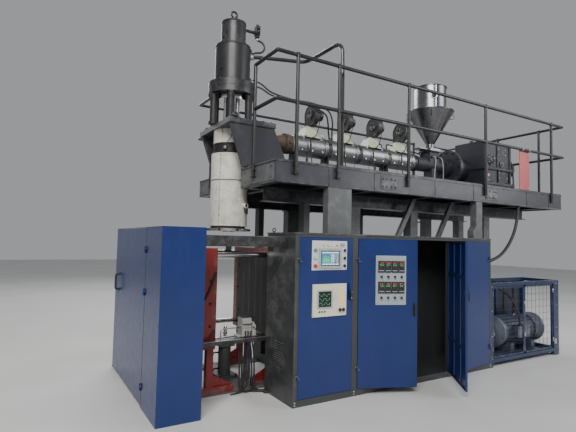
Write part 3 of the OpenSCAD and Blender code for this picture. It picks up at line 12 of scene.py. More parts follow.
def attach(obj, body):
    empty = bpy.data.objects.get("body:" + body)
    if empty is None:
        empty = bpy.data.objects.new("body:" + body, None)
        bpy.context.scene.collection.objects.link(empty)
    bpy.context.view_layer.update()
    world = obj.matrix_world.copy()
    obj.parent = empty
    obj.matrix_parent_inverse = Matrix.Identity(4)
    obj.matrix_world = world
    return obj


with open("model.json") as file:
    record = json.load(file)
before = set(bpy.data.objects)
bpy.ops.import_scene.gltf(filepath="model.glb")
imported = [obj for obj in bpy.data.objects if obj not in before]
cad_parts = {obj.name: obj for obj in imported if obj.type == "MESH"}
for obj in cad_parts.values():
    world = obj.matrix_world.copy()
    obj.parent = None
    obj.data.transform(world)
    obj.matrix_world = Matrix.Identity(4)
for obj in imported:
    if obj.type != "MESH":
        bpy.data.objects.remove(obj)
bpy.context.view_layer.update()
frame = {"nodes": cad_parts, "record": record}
nodes = frame["nodes"]
slot_of = {s["node"]: s["material_slot"] for s in frame["record"]["subparts"]}
rng = random.Random(7)
TAU = 2 * math.pi
X, Y, Z = Vector((1, 0, 0)), Vector((0, 1, 0)), Vector((0, 0, 1))

# Camera and light
EYE = Vector((-4.334, -5.1, 1.667))
YAW, PITCH, ROLL = (math.radians(a) for a in (30.8, 3.2, 1.25))
FOCAL_PX = 443.5
FRAME_PX = 576


def make_camera():
    look = Vector((math.sin(YAW) * math.cos(PITCH), math.cos(YAW) * math.cos(PITCH), math.sin(PITCH)))
    right = Vector((math.cos(YAW), -math.sin(YAW), 0.0))
    up = right.cross(look)
    turned_right = right * math.cos(ROLL) + up * math.sin(ROLL)
    turned_up = up * math.cos(ROLL) - right * math.sin(ROLL)
    data = bpy.data.cameras.new("camera")
    data.sensor_width = 36.0
    data.lens = FOCAL_PX / FRAME_PX * data.sensor_width
    data.clip_end = 200.0
    camera = bpy.data.objects.new("camera", data)
    turn = Matrix((turned_right, turned_up, -look)).transposed()
    camera.matrix_world = Matrix.Translation(EYE) @ turn.to_4x4()
    bpy.context.scene.collection.objects.link(camera)
    bpy.context.scene.camera = camera


def area_light(name, place, target, size, power, colour=(1.0, 1.0, 1.0)):
    data = bpy.data.lights.new(name, "AREA")
    data.shape = "RECTANGLE"
    data.size, data.size_y = size
    data.energy = power
    data.color = colour
    lamp = bpy.data.objects.new(name, data)
    lamp.location = place
    lamp.rotation_euler = (Vector(target) - Vector(place)).to_track_quat("-Z", "Y").to_euler()
    bpy.context.scene.collection.objects.link(lamp)


make_camera()
area_light("key_light", (-7.0, -8.5, 9.0), (0.0, 0.0, 1.8), (7.0, 5.0), 1650, (1.0, 0.985, 0.96))
area_light("fill_light", (8.0, -8.0, 6.0), (0.5, 0.0, 1.8), (6.0, 6.0), 520, (0.94, 0.97, 1.0))
area_light("back_light", (1.0, 9.0, 9.0), (0.0, 0.0, 2.5), (9.0, 5.0), 900)
world = bpy.data.worlds.new("studio")
world.use_nodes = True
world.node_tree.nodes["Background"].inputs[0].default_value = (0.86, 0.88, 0.90, 1.0)
world.node_tree.nodes["Background"].inputs[1].default_value = 0.40
bpy.context.scene.world = world


# Materials
def rgba(colour, k=1.0):
    return (colour[0] * k, colour[1] * k, colour[2] * k, 1.0)


class Shader:
    """A small wrapper that keeps the node wiring of one material short."""

    def __init__(self, name):
        self.mat = bpy.data.materials.new(name)
        self.mat.use_nodes = True
        self.tree = self.mat.node_tree
        self.out = self.tree.nodes["Principled BSDF"]
        self.where = self.tree.nodes.new("ShaderNodeTexCoord").outputs["Object"]

    def node(self, kind, inputs, **settings):
        """Adds a node; inputs pairs a socket's name or number with a value or another socket."""
        n = self.tree.nodes.new(kind)
        for key, value in settings.items():
            setattr(n, key, value)
        for key, value in inputs.items():
            self.feed(n.inputs[key], value)
        return n

    def feed(self, socket, value):
        if isinstance(value, bpy.types.NodeSocket):
            self.tree.links.new(value, socket)
        else:
            socket.default_value = value

    def mapped(self, scale=(1, 1, 1), turn=(0, 0, 0)):
        inputs = {"Scale": scale, "Rotation": turn, "Vector": self.where}
        return self.node("ShaderNodeMapping", inputs).outputs["Vector"]

    def noise(self, scale, detail=4.0, rough=0.55, vector=None):
        inputs = {"Scale": scale, "Detail": detail, "Roughness": rough, "Vector": vector or self.where}
        return self.node("ShaderNodeTexNoise", inputs).outputs["Fac"]

    def ramp(self, fac, low, low_colour, high, high_colour):
        r = self.node("ShaderNodeValToRGB", {"Fac": fac})
        for element, place, colour in zip(r.color_ramp.elements, (low, high), (low_colour, high_colour)):
            element.position = place
            element.color = colour
        return r.outputs["Color"]

    def mask(self, fac, low, high, amount=1.0):
        """Nothing up to low, rising to the amount at high."""
        return self.ramp(fac, low, (0, 0, 0, 1), high, (amount, amount, amount, 1))

    def tones(self, fac, colour, dark, light, low=0.30, high=0.72):
        """One colour, darker and lighter by two factors."""
        return self.ramp(fac, low, rgba(colour, dark), high, rgba(colour, light))

    def mix(self, fac, a, b):
        return self.node("ShaderNodeMix", {0: fac, 6: a, 7: b}, data_type="RGBA").outputs[2]

    def maths(self, kind, a, b, clamp=False):
        return self.node("ShaderNodeMath", {0: a, 1: b}, operation=kind, use_clamp=clamp).outputs[0]

    def spread(self, fac, low, high):
        inputs = {"To Min": low, "To Max": high, "Value": fac}
        return self.node("ShaderNodeMapRange", inputs).outputs["Result"]

    def bump(self, height, strength, distance, **below):
        inputs = {"Strength": strength, "Distance": distance, "Height": height, **below}
        return self.node("ShaderNodeBump", inputs).outputs["Normal"]

    def set(self, **values):
        for key, value in values.items():
            self.feed(self.out.inputs[key.replace("_", " ")], value)
        return self.mat


WORN_METAL = (0.16, 0.155, 0.15)


def edge_wear(s, amount):
    """A mask that is up to 1 along worn outer edges."""
    worn = s.mask(s.node("ShaderNodeNewGeometry", {}).outputs["Pointiness"], 0.535, 0.60)
    return s.maths("MULTIPLY", worn, s.mask(s.noise(9.0, 5.0, 0.7), 0.46, 0.62, amount), True)


def painted(name, colour, rough=0.38, coat=0.25, dirt=0.35, peel=0.12, wear=0.0):
    """Sprayed machine paint: orange peel, cloudy gloss, runs of dust and worn edges."""
    s = Shader(name)
    base = s.tones(s.noise(1.7, 5.0, 0.6), colour, 0.86, 1.10, high=0.70)
    grime = s.mask(s.noise(5.0, 6.0, 0.65, s.mapped((1.0, 1.0, 0.16))), 0.52, 0.80, dirt)
    base = s.mix(grime, base, rgba([0.8 * c + 0.030 for c in colour]))
    specks = s.mask(s.noise(230.0, 2.0, 0.5), 0.66, 0.74, 0.35 * dirt)
    base = s.mix(specks, base, rgba([0.6 * c + 0.050 for c in colour]))
    if wear:
        base = s.mix(edge_wear(s, wear), base, rgba(WORN_METAL))
    cloudy = s.spread(s.noise(11.0, 4.0, 0.6), rough - 0.07, rough + 0.12)
    gloss = s.maths("ADD", cloudy, s.maths("MULTIPLY", grime, 0.3), True)
    peel_bump = s.bump(s.noise(420.0, 2.0, 0.5), peel, 0.0006)
    wave_bump = s.bump(s.noise(2.4, 3.0, 0.5), 0.10, 0.004, Normal=peel_bump)
    return s.set(Base_Color=base, Roughness=gloss, Normal=wave_bump, Coat_Weight=coat, Coat_Roughness=0.16)


def steel(name, colour, rough=0.30, lines=(1, 1, 60), stain=0.2, grain=0.15, tint=(0.36, 0.30, 0.22)):
    """Bare metal with a drawn or turned grain, oil marks and darker patches."""
    s = Shader(name)
    drawn = s.noise(14.0, 6.0, 0.7, s.mapped(lines))
    marks = s.mask(s.noise(3.2, 6.0, 0.68), 0.50, 0.78, stain)
    base = s.mix(marks, s.tones(drawn, colour, 0.80, 1.12), rgba(tint))
    gloss = s.maths("ADD", s.spread(drawn, rough - 0.08, rough + 0.14), s.maths("MULTIPLY", marks, 0.5), True)
    return s.set(Base_Color=base, Metallic=1.0, Roughness=gloss, Normal=s.bump(drawn, grain, 0.0006))


def cast(name, colour, rough=0.62, metal=0.0, grain=0.5, stain=0.3):
    """Rough casting skin or heat-darkened metal under a thin coat."""
    s = Shader(name)
    skin = s.noise(90.0, 5.0, 0.7)
    base = s.tones(s.noise(4.0, 6.0, 0.65), colour, 0.72, 1.22, 0.28, 0.74)
    rust = s.mask(s.noise(7.0, 7.0, 0.72), 0.56, 0.80, stain)
    base = s.mix(rust, base, rgba((0.20, 0.12, 0.075)))
    return s.set(Base_Color=base, Metallic=metal, Roughness=s.spread(skin, rough - 0.12, rough + 0.16),
                 Normal=s.bump(skin, grain, 0.0015))


def plastic(name, colour, rough=0.35, grain=0.12):
    s = Shader(name)
    base = s.tones(s.noise(6.0, 4.0, 0.6), colour, 0.88, 1.10)
    dust = s.mask(s.noise(30.0, 5.0, 0.7), 0.55, 0.85, 0.18)
    base = s.mix(dust, base, rgba([0.5 * c + 0.10 for c in colour]))
    return s.set(Base_Color=base, Roughness=s.spread(s.noise(16.0, 3.0), rough - 0.06, rough + 0.10),
                 Normal=s.bump(s.noise(700.0, 2.0), grain, 0.0003))


def rubber(name, colour):
    """Hose cover and cable sheath."""
    s = Shader(name)
    base = s.tones(s.noise(12.0, 5.0, 0.65), colour, 0.75, 1.5)
    return s.set(Base_Color=base, Roughness=s.spread(s.noise(40.0, 4.0), 0.48, 0.72),
                 Normal=s.bump(s.noise(600.0, 2.0), 0.2, 0.0004))


def deck_look(name, colour):
    """Chequer plate: crossed raised lozenges, worn bright along the walkway."""
    s = Shader(name)
    waves = []
    for turn in (45.0, -45.0):
        inputs = {"Scale": 9.0, "Vector": s.mapped(turn=(0, 0, math.radians(turn)))}
        w = s.node("ShaderNodeTexWave", inputs, wave_type="BANDS", bands_direction="X")
        waves.append(w.outputs["Fac"])
    raised = s.mask(s.maths("MULTIPLY", *waves), 0.55, 0.70)
    cloud = s.noise(1.3, 6.0, 0.65)
    base = s.tones(cloud, colour, 0.70, 1.18)
    base = s.mix(s.maths("MULTIPLY", raised, s.spread(cloud, 0.1, 0.7)), base, rgba((0.55, 0.55, 0.54)))
    return s.set(Base_Color=base, Roughness=s.spread(cloud, 0.40, 0.70), Metallic=0.25,
                 Normal=s.bump(raised, 0.6, 0.0015))


def glow(name, colour, strength):
    s = Shader(name)
    tone = s.tones(s.noise(60.0, 2.0), colour, 0.9, 1.05, high=0.7)
    return s.set(Base_Color=tone, Roughness=0.25, Emission_Color=tone, Emission_Strength=strength)


NO_LINES = (1, 1, 1)
# A name that is taken gets a number after a dot from Blender
LOOK = {look.name.partition(".")[0]: look for look in (
    painted("frame_grey", (0.080, 0.086, 0.090), 0.45, 0.15, wear=0.5),
    painted("cabinet_grey", (0.034, 0.037, 0.039), 0.40, 0.2, wear=0.35),
    cast("cast_grey", (0.075, 0.08, 0.082), 0.55),
    painted("platform_dark", (0.026, 0.027, 0.036), 0.42, 0.2, wear=0.6),
    deck_look("deck_grey", (0.15, 0.155, 0.165)),
    painted("rail_dark", (0.009, 0.007, 0.008), 0.40, 0.2, wear=0.2),
    painted("plate_red", (0.42, 0.030, 0.032), 0.40, 0.3, wear=0.2),
    cast("dark_steel", (0.030, 0.028, 0.031), 0.50, 0.5, 0.35),
    painted("cream_cover", (0.66, 0.64, 0.56), 0.42, 0.15, 0.4, wear=0.35),
    steel("machined_steel", (0.46, 0.46, 0.46), 0.34),
    steel("ground_steel", (0.68, 0.68, 0.69), 0.16, NO_LINES, 0.08, 0.04),
    painted("cylinder_dark", (0.009, 0.009, 0.012), 0.42, 0.1, wear=0.2),
    painted("black_metal", (0.014, 0.014, 0.016), 0.42, 0.2, wear=0.25),
    rubber("hose_black", (0.016, 0.016, 0.018)),
    painted("pipe_dark", (0.014, 0.014, 0.016), 0.32, 0.3, wear=0.3),
    cast("band_brown", (0.080, 0.052, 0.040), 0.62, 0.2, 0.4, 0.5),
    steel("cover_steel", (0.36, 0.36, 0.36), 0.32, (60, 1, 1), 0.35),
    painted("cowl_cream", (0.52, 0.56, 0.42), 0.42, 0.15, 0.35, wear=0.3),
    cast("throat_grey", (0.030, 0.033, 0.040), 0.50, 0.1),
    steel("stainless", (0.20, 0.20, 0.215), 0.24, (1, 1, 24), 0.25, 0.08, (0.40, 0.36, 0.28)),
    painted("gearbox_dark", (0.020, 0.022, 0.032), 0.42, 0.2, 0.5, 0.3, wear=0.35),
    painted("platen_red", (0.16, 0.007, 0.005), 0.42, 0.25, 0.5, wear=0.45),
    painted("manifold_pale", (0.42, 0.41, 0.39), 0.42, 0.15, 0.5, wear=0.2),
    painted("guard_blue", (0.004, 0.019, 0.115), 0.30, 0.15, 0.20),
    painted("door_blue", (0.004, 0.019, 0.118), 0.30, 0.15, 0.20),
    plastic("handle_black", (0.020, 0.020, 0.022)),
    painted("panel_pale", (0.56, 0.60, 0.58), 0.42, 0.1, 0.25),
    painted("panel_cream", (0.64, 0.62, 0.49), 0.42, 0.1, 0.25),
    painted("panel_grey", (0.30, 0.34, 0.36), 0.42, 0.1, 0.25),
    plastic("button_green", (0.03, 0.36, 0.12), 0.22),
    plastic("button_red", (0.55, 0.02, 0.03), 0.22),
    painted("mounting_pale", (0.46, 0.46, 0.41), 0.45, 0.1, 0.2),
    painted("cage_blue", (0.006, 0.018, 0.070), 0.32, 0.2, 0.35, wear=0.3),
    steel("mesh_steel", (0.10, 0.115, 0.15), 0.40, NO_LINES, 0.3, 0.1),
    painted("motor_blue", (0.045, 0.055, 0.085), 0.36, 0.3, 0.4, 0.25, wear=0.25),
)}
for node_name, node_object in nodes.items():
    node_object.data.materials.clear()
    node_object.data.materials.append(LOOK[slot_of[node_name]])

# Looks of pieces that the record has no slot for
screen_glow = glow("screen_glow", (0.05, 0.16, 0.30), 0.55)
screen_dark = plastic("screen_dark", (0.012, 0.015, 0.020), 0.12, 0.02)
bar_green = glow("bar_green", (0.05, 0.55, 0.16), 0.8)
bar_amber = glow("bar_amber", (0.80, 0.38, 0.04), 0.8)
bar_red = glow("bar_red", (0.75, 0.05, 0.03), 0.9)
bar_white = glow("bar_white", (0.62, 0.70, 0.74), 0.7)
key_grey = plastic("key_grey", (0.34, 0.36, 0.38), 0.45)
gasket = rubber("gasket", (0.02, 0.02, 0.02))
zinc = steel("zinc", (0.55, 0.55, 0.53), 0.38, NO_LINES, 0.25, 0.1)
wire_black = rubber("wire_black", (0.018, 0.018, 0.020))
wire_grey = plastic("wire_grey", (0.30, 0.31, 0.32), 0.5)
glass_dark = plastic("glass_dark", (0.03, 0.035, 0.04), 0.06, 0.0)
pale_plastic = plastic("pale_plastic", (0.62, 0.62, 0.58), 0.42)
cage_shadow = painted("cage_shadow", (0.012, 0.014, 0.030), 0.5, 0.1)
motor_pale = painted("motor_pale", (0.11, 0.13, 0.17), 0.34, 0.3, wear=0.2)
pipe_pale = painted("pipe_pale", (0.50, 0.51, 0.52), 0.34, 0.3, wear=0.2)
# Near-black platen faces: dark steel, with the shade of the mould gap painted in.
platen_face = cast("platen_face", (0.030, 0.026, 0.028), 0.5, 0.4, 0.3)

floor = bpy.data.meshes.new("floor")
floor.from_pydata([(-30, -30, 0), (30, -30, 0), (30, 30, 0), (-30, 30, 0)], [], [(0, 1, 2, 3)])
floor_object = bpy.data.objects.new("floor", floor)
bpy.context.scene.collection.objects.link(floor_object)
floor_look = Shader("floor_look")
floor_cloud = floor_look.noise(0.7, 5.0)
floor_tone = floor_look.ramp(floor_cloud, 0.3, (0.52, 0.52, 0.51, 1), 0.7, (0.60, 0.60, 0.59, 1))
floor.materials.append(floor_look.set(Base_Color=floor_tone, Roughness=0.55))


# Mesh building, in millimetres
def at(x, y=0.0, z=0.0):
    """A piece's own origin."""
    return Matrix.Translation(Vector((x, y, z)) / 1000.0)


def turned(x, y, degrees):
    """A piece's own upright frame, turned about Z at x, y."""
    return at(x, y) @ Matrix.Rotation(math.radians(degrees), 4, "Z")


def grid(*lists):
    """All points with one x, one y and one z of the lists; a bare number is a list of one."""
    return itertools.product(*[v if isinstance(v, (tuple, list, range)) else (v,) for v in lists])


def angles(n, start=0.0):
    return [TAU * k / n + start for k in range(n)]


def spoke(a):
    """Unit vector square to X at an angle."""
    return Vector((0, math.cos(a), math.sin(a)))


def level(a):
    """Unit vector square to Z at an angle."""
    return Vector((math.cos(a), math.sin(a), 0))


def rect(x0, y0, x1, y1):
    return [(x0, y0), (x1, y0), (x1, y1), (x0, y1)]


def plug(r, h):
    """Profile of a plain round plug."""
    return [(0, 0), (0, r), (h, r), (h, 0)]


def stepped(r, h, r_end, h_end):
    """Profile of a round plug with a thinner end."""
    return [(0, 0), (0, r), (h, r), (h, r_end), (h_end, r_end), (h_end, 0)]


def socket_head(r, h, edge, hollow, depth):
    """Profile of a socket screw's head with a bevelled edge and its hollow."""
    top = h + edge
    return [(0, 0), (0, r), (h, r), (top, r - edge), (top, hollow), (depth, hollow), (depth, 0)]


def curve(points, n=6):
    """Smooth curve through the points, n steps for each stretch."""
    p = [Vector(q) for q in points]
    out = []
    for i in range(len(p) - 1):
        a, b, c, d = p[max(i - 1, 0)], p[i], p[i + 1], p[min(i + 2, len(p) - 1)]
        for k in range(n):
            t = k / n
            square = (2 * a - 5 * b + 4 * c - d) * t * t
            out.append(0.5 * (2 * b + (c - a) * t + square + (3 * b - a - 3 * c + d) * t ** 3))
    return out + [p[-1]]


class Part:
    """One visible piece, built from closed shells in its own frame. Each method returns the piece."""

    def __init__(self, name, look, body="machine", turn=None):
        self.name, self.look, self.body = name, look, body
        self.bm = bmesh.new()
        self.turn = turn or Matrix.Identity(4)

    def put(self, points, faces, smooth=False):
        verts = [self.bm.verts.new(self.turn @ (Vector(p) / 1000.0)) for p in points]
        for f in faces:
            self.bm.faces.new([verts[i] for i in f]).smooth = smooth
        return self

    def box(self, p, q):
        """Box between two opposite corners, given in any order."""
        (a, d), (b, e), (c, f) = (sorted(pair) for pair in zip(p, q))
        points = [(a, b, c), (d, b, c), (d, e, c), (a, e, c), (a, b, f), (d, b, f), (d, e, f), (a, e, f)]
        round_faces = [(k, (k + 1) % 4, (k + 1) % 4 + 4, k + 4) for k in range(4)]
        return self.put(points, [(0, 3, 2, 1), (4, 5, 6, 7)] + round_faces)

    def boxes(self, places, p, q):
        """The same box at several places."""
        for place in places:
            self.box(Vector(place) + Vector(p), Vector(place) + Vector(q))
        return self

    def border(self, x0, z0, x1, z1, wide, high, y0, y1):
        """Four bars round an upright opening, the upright ones wide, the level ones high."""
        self.box((x0, y0, z0), (x1, y1, z0 + high)).box((x0, y0, z1 - high), (x1, y1, z1))
        self.box((x0, y0, z0 + high), (x0 + wide, y1, z1 - high))
        return self.box((x1 - wide, y0, z0 + high), (x1, y1, z1 - high))

    def lathe(self, a, axis, profile, n=24, smooth=True, start=0.0):
        """Turned solid: profile is a closed list of (distance along axis, radius)."""
        a, axis = Vector(a), Vector(axis).normalized()
        u = axis.orthogonal().normalized()
        v = axis.cross(u)
        points, faces, rings = [], [], []
        for d, r in profile:
            count = n if r > 1e-6 else 1
            rings.append([len(points) + k % count for k in range(n)])
            for t in angles(n, start)[:count]:
                points.append(a + axis * d + r * (u * math.cos(t) + v * math.sin(t)))
        closed = profile[0][1] > 1e-6 and profile[-1][1] > 1e-6
        for p, q in zip(rings, rings[1:] + rings[:1] * closed):
            for k in range(n):
                j = (k + 1) % n
                corners = list(dict.fromkeys((p[k], q[k], q[j], p[j])))
                if len(corners) > 2:
                    faces.append(corners)
        return self.put(points, faces, smooth)

    def lathes(self, places, axis, profile, n=24, smooth=True):
        for place in places:
            self.lathe(place, axis, profile, n, smooth)
        return self

    def cyl(self, a, b, r, n=24, edge=1.0):
        """Cylinder between two points with a small edge."""
        a, b = Vector(a), Vector(b)
        h = (b - a).length
        e = min(edge, 0.3 * h, 0.3 * r)
        return self.lathe(a, b - a, [(0, 0), (0, r - e), (e, r), (h - e, r), (h, r - e), (h, 0)], n)

    def tube(self, a, b, r, r_in, n=24):
        a, b = Vector(a), Vector(b)
        h = (b - a).length
        e = min(1.0, 0.3 * h, 0.3 * (r - r_in))
        return self.lathe(a, b - a, [(0, r_in), (0, r - e), (e, r), (h - e, r), (h, r - e), (h, r_in)], n)

    def bolt(self, a, axis, size, washer=True):
        """Hexagon head with washer, seated on the face at a. Size is the thread diameter."""
        t = 0.16 * size if washer else 0.0
        if washer:
            self.lathe(a, axis, plug(1.05 * size, t), 14)
        head = [(t, 0), (t, 0.88 * size), (t + 0.5 * size, 0.88 * size), (t + 0.64 * size, 0.74 * size),
                (t + 0.64 * size, 0)]
        return self.lathe(a, axis, head, 6, False, rng.random())

    def bolts(self, places, axis, size, washer=True):
        for place in places:
            self.bolt(place, axis, size, washer)
        return self

    def nuts(self, places, size):
        """Nuts on upright stud ends, seated on the faces at the places."""
        stud = [(0, 0), (0, 0.5 * size), (0.3 * size, 0.5 * size), (0.36 * size, 0.42 * size),
                (0.36 * size, 0)]
        for place in places:
            self.lathe(place, Z, plug(0.9 * size, 0.8 * size), 6, False, rng.random())
            self.lathe(Vector(place) + Z * 0.79 * size, Z, stud, 12)
        return self

    def sweep(self, points, r, n=10, square=None):
        """Round bar or hose along points; square=(w, h) gives a flat bar."""
        p = [Vector(q) for q in points]
        t = [(p[min(i + 1, len(p) - 1)] - p[max(i - 1, 0)]).normalized() for i in range(len(p))]
        u = t[0].orthogonal().normalized()
        if abs(t[0].z) < 0.9:
            u = (Z - t[0] * Z.dot(t[0])).normalized()
        verts, faces = [], []
        for i, q in enumerate(p):
            u = (u - t[i] * u.dot(t[i])).normalized()
            v = t[i].cross(u)
            if square:
                w, h = square[0] / 2, square[1] / 2
                verts += [q + u * h + v * w, q - u * h + v * w, q - u * h - v * w, q + u * h - v * w]
            else:
                verts += [q + r * (u * math.cos(a) + v * math.sin(a)) for a in angles(n)]
        n = 4 if square else n
        for i in range(len(p) - 1):
            for k in range(n):
                j = (k + 1) % n
                faces.append((i * n + k, i * n + j, (i + 1) * n + j, (i + 1) * n + k))
        faces.append(tuple(reversed(range(n))))
        faces.append(tuple((len(p) - 1) * n + k for k in range(n)))
        return self.put(verts, faces, not square)

    def hose(self, points, r, n=10, steps=6):
        return self.sweep(curve(points, steps), r, n)

    def prism(self, outline, low, high, along="z"):
        """Extrudes a closed outline of 2-D points between two levels of an axis."""
        def corner(p, h):
            return {"z": (p[0], p[1], h), "y": (p[0], h, p[1]), "x": (h, p[0], p[1])}[along]
        n = len(outline)
        faces = [tuple(reversed(range(n))), tuple(range(n, 2 * n))]
        faces += [(i, (i + 1) % n, n + (i + 1) % n, n + i) for i in range(n)]
        return self.put([corner(p, h) for h in (low, high) for p in outline], faces)

    def done(self, bevel=0.0, segments=1):
        bmesh.ops.recalc_face_normals(self.bm, faces=self.bm.faces)
        mesh = bpy.data.meshes.new(self.name)
        self.bm.to_mesh(mesh)
        self.bm.free()
        mesh.materials.append(LOOK[self.look] if isinstance(self.look, str) else self.look)
        piece = bpy.data.objects.new(self.name, mesh)
        bpy.context.scene.collection.objects.link(piece)
        if bevel:
            m = piece.modifiers.new("edge", "BEVEL")
            m.width = bevel / 1000.0
            m.segments = segments
            m.limit_method = "ANGLE"
            m.angle_limit = math.radians(50)
        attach(piece, self.body)
        return piece


def maker(body="machine", turn=None):
    """Makes the parts of one body in one frame."""
    def part(name, look):
        return Part(name, look, body, turn)
    return part


HEAD_X, AXIS_Z, DECK_Z = -2154.0, 2970.0, 2515.0


# Electric cabinet
FRONT, BACK, ROOF, PLATE_Y = -1270.0, -670.0, 1750.0, -713.0
SCREW = [(0, 0), (0, 5), (1.6, 4.4), (2.8, 2.2), (3, 0)]
SMALL_SCREW = [(0, 0), (0, 3.6), (1.4, 3.0), (2, 0)]
# Each door's hinge x, width, opening in degrees and the side that its leaf lies on
DOORS = {1: (-1902, 692, 0, 1), 2: (-1134, 697, -22, 1), 3: (366, 803, 53, -1), 4: (1186, 790, 8, -1)}
HINGE_Y = FRONT - 10
# Seven bars of a digit: top, upper right, upper left, middle, lower right, lower left, bottom
BARS = (((1.5, 15), (8.5, 17)), ((8.5, 9.5), (10.5, 15.5)), ((-0.5, 9.5), (1.5, 15.5)),
        ((1.5, 7.5), (8.5, 9.5)), ((8.5, 1.5), (10.5, 7.5)), ((-0.5, 1.5), (1.5, 7.5)),
        ((1.5, -0.5), (8.5, 1.5)))
DIGITS = ((1, 1, 0, 1, 1, 0, 1), (0, 1, 0, 0, 1, 0, 0), (1, 0, 1, 1, 0, 1, 1), (1, 1, 1, 0, 1, 1, 1))


def door_frame(n):
    hinge_x, _, opening, _ = DOORS[n]
    return turned(hinge_x, HINGE_Y, opening)


def screen_panel_detail():
    part = maker("door_1", at(-1754, FRONT - 6, 1368))
    wide, high = 457, 308
    part("screen_bezel", key_grey).border(84, 16, 380, 228, 24, 26, -11, -2).done(2.5, 2)
    part("screen_display", screen_dark).box((107, -6.5, 41), (357, -4.2, 203)).done()
    part("screen_page", screen_glow).box((116, -7.2, 50), (348, -6.4, 194)).done()
    white = part("screen_bars_white", bar_white).box((122, -7.9, 178), (342, -7.1, 190))
    white.boxes(grid(range(124, 344, 44), 0, 55), (0, -7.9, 0), (38, -7.1, 12))
    for i in range(7):
        white.box((236, -7.9, 80 + 13 * i), (274 + (i * 17) % 30, -7.1, 86 + 13 * i))
    white.done()
    green = part("screen_bars_green", bar_green)
    for i in range(8):
        green.box((130 + 12 * i, -7.9, 78), (137 + 12 * i, -7.1, 108 + (i * 23) % 52))
    green.done()
    rows = grid(312, 0, range(80, 171, 13))
    part("screen_bars_amber", bar_amber).boxes(rows, (0, -7.9, 0), (18, -7.1, 6)).done()
    lamps = ((143, bar_green), (205, bar_amber), (260, bar_white), (322, bar_red))
    for i, (x, look) in enumerate(lamps, 1):
        collar = [(0, 0), (0, 13), (4, 13), (5, 11.5), (5, 0)]
        part("lamp_ring_%d" % i, zinc).lathe((x, 0, 262), -Y, collar, 20).done()
        lens = [(0, 0), (0, 9.5), (5, 8.6), (8, 5.5), (9, 0)]
        part("lamp_lens_%d" % i, look).lathe((x, -4.5, 262), -Y, lens, 18).done()
    # Black strips stand in for the speaker slots: painted shade inside the openings.
    part("speaker_slots", wire_black).boxes(grid(362, 0, range(244, 280, 7)), (0, -0.8, 0), (63, 0, 3)).done()
    rows = (44, 126, 208)
    knobs = part("selector_knobs", "handle_black")
    knobs.lathes(grid(419, -9, rows), -Y, [(0, 0), (0, 17), (4, 17), (8, 13), (14, 12.5), (14, 0)])
    knobs.boxes(grid(416, 0, rows), (0, -30, -13), (6, -22, 13)).done(0.8)
    collars = part("button_collars", zinc)
    for z in rows:
        collars.tube((44, 0, z), (44, -1.6, z), 24, 12, 28)
    collars.done()
    button = [(0, 0), (0, 14), (5, 14), (6.5, 12), (7, 0)]
    part("pale_button", bar_green).lathe((44, -7, 126), -Y, button).done()
    corners = grid((10, wide / 2, wide - 10), 0, (10, high - 10))
    head = [(0, 0), (0, 4.5), (1.4, 4.0), (2.4, 2.2), (2.6, 0)]
    part("panel_screws", zinc).lathes(corners, -Y, head, 14).done()
    part("panel_gasket", gasket).border(-2, -2, wide + 2, high + 2, 2, 2, 4.6, 5.6).done()


def controller_detail():
    part = maker("door_1", at(-1740, FRONT - 18, 885))
    part("controller_frame", key_grey).border(54, 86, 244, 274, 13, 13, -7, 0.5).done(1.5, 2)
    part("controller_display", screen_dark).box((66, 0.6, 98), (232, 5, 262)).done()
    traces = part("controller_traces", bar_green)
    for k in range(3):
        waves = [13 * math.sin(0.55 * i + k) + 5 * math.cos(1.3 * i) for i in range(25)]
        traces.sweep([(76 + 6 * i, 0.2, 130 + 46 * k + wave) for i, wave in enumerate(waves)], 0.9, 5)
    traces.done()
    keys = grid((262, 285, 308), 0, range(116, 213, 24))
    part("controller_keys", pale_plastic).boxes(keys, (0, -4, 0), (18, 1, 18)).done(0.8)
    part("controller_strip", bar_amber).box((352, -1.2, 112), (372, 0.2, 262)).done()
    plugs = part("controller_connectors", "handle_black")
    ring = [(0, 0), (0, 19), (9, 19), (10, 16), (10, 11), (4, 11), (4, 0)]
    plugs.lathes(grid((340, 386), -11, 62), -Y, ring)
    plugs.lathes(grid((80, 114, 148), 0, 52), -Y, [(0, 0), (0, 9), (8, 8), (8, 0)], 18).done()
    part("controller_screws", zinc).lathes(grid((12, 421), 0, (12, 325)), -Y, SCREW, 14).done()


def temperature_detail():
    face = door_frame(2) @ at(0, 3.7)
    for row, z in enumerate((1110, 1340)):
        for i in range(4):
            part = maker("door_2", face @ at(228 + 78 * i, 0, z))
            tag = "%d_%d" % (row + 1, i + 1)
            part("zone_body_" + tag, "handle_black").box((-1.5, -11, -1.5), (71.5, -0.5, 126.5)).done(2, 2)
            part("zone_glass_" + tag, glass_dark).box((8, -12, 66), (62, -10.5, 116)).done(0.6)
            for k, look in enumerate((bar_red, bar_green)):
                digits = part("zone_digits_%s_%d" % (tag, k + 1), look)
                for d in range(3):
                    lit = itertools.compress(BARS, DIGITS[(d + i + row + k) % 4])
                    for (x0, z0), (x1, z1) in lit:
                        digits.boxes([(15 + 15 * d, 0, 94 - 23 * k)], (x0, -12.6, z0), (x1, -11.9, z1))
                digits.done()
            keys = grid((9, 23, 37, 51), 0, 14)
            part("zone_keys_" + tag, key_grey).boxes(keys, (0, -13, 0), (10, -10.5, 10)).done(0.8)
            knob = [(0, 0), (0, 14), (4, 14), (6, 11), (16, 10), (16, 0)]
            switch = part("zone_switch_" + tag, "handle_black").lathe((35, -15, -48), -Y, knob, 22)
            switch.box((33, -34, -57), (37, -30, -39)).done(0.6)
    places = grid((212, 543), 0, (992, 1252, 1513))
    Part("temperature_screws", zinc, "door_2", face).lathes(places, -Y, SCREW, 14).done()


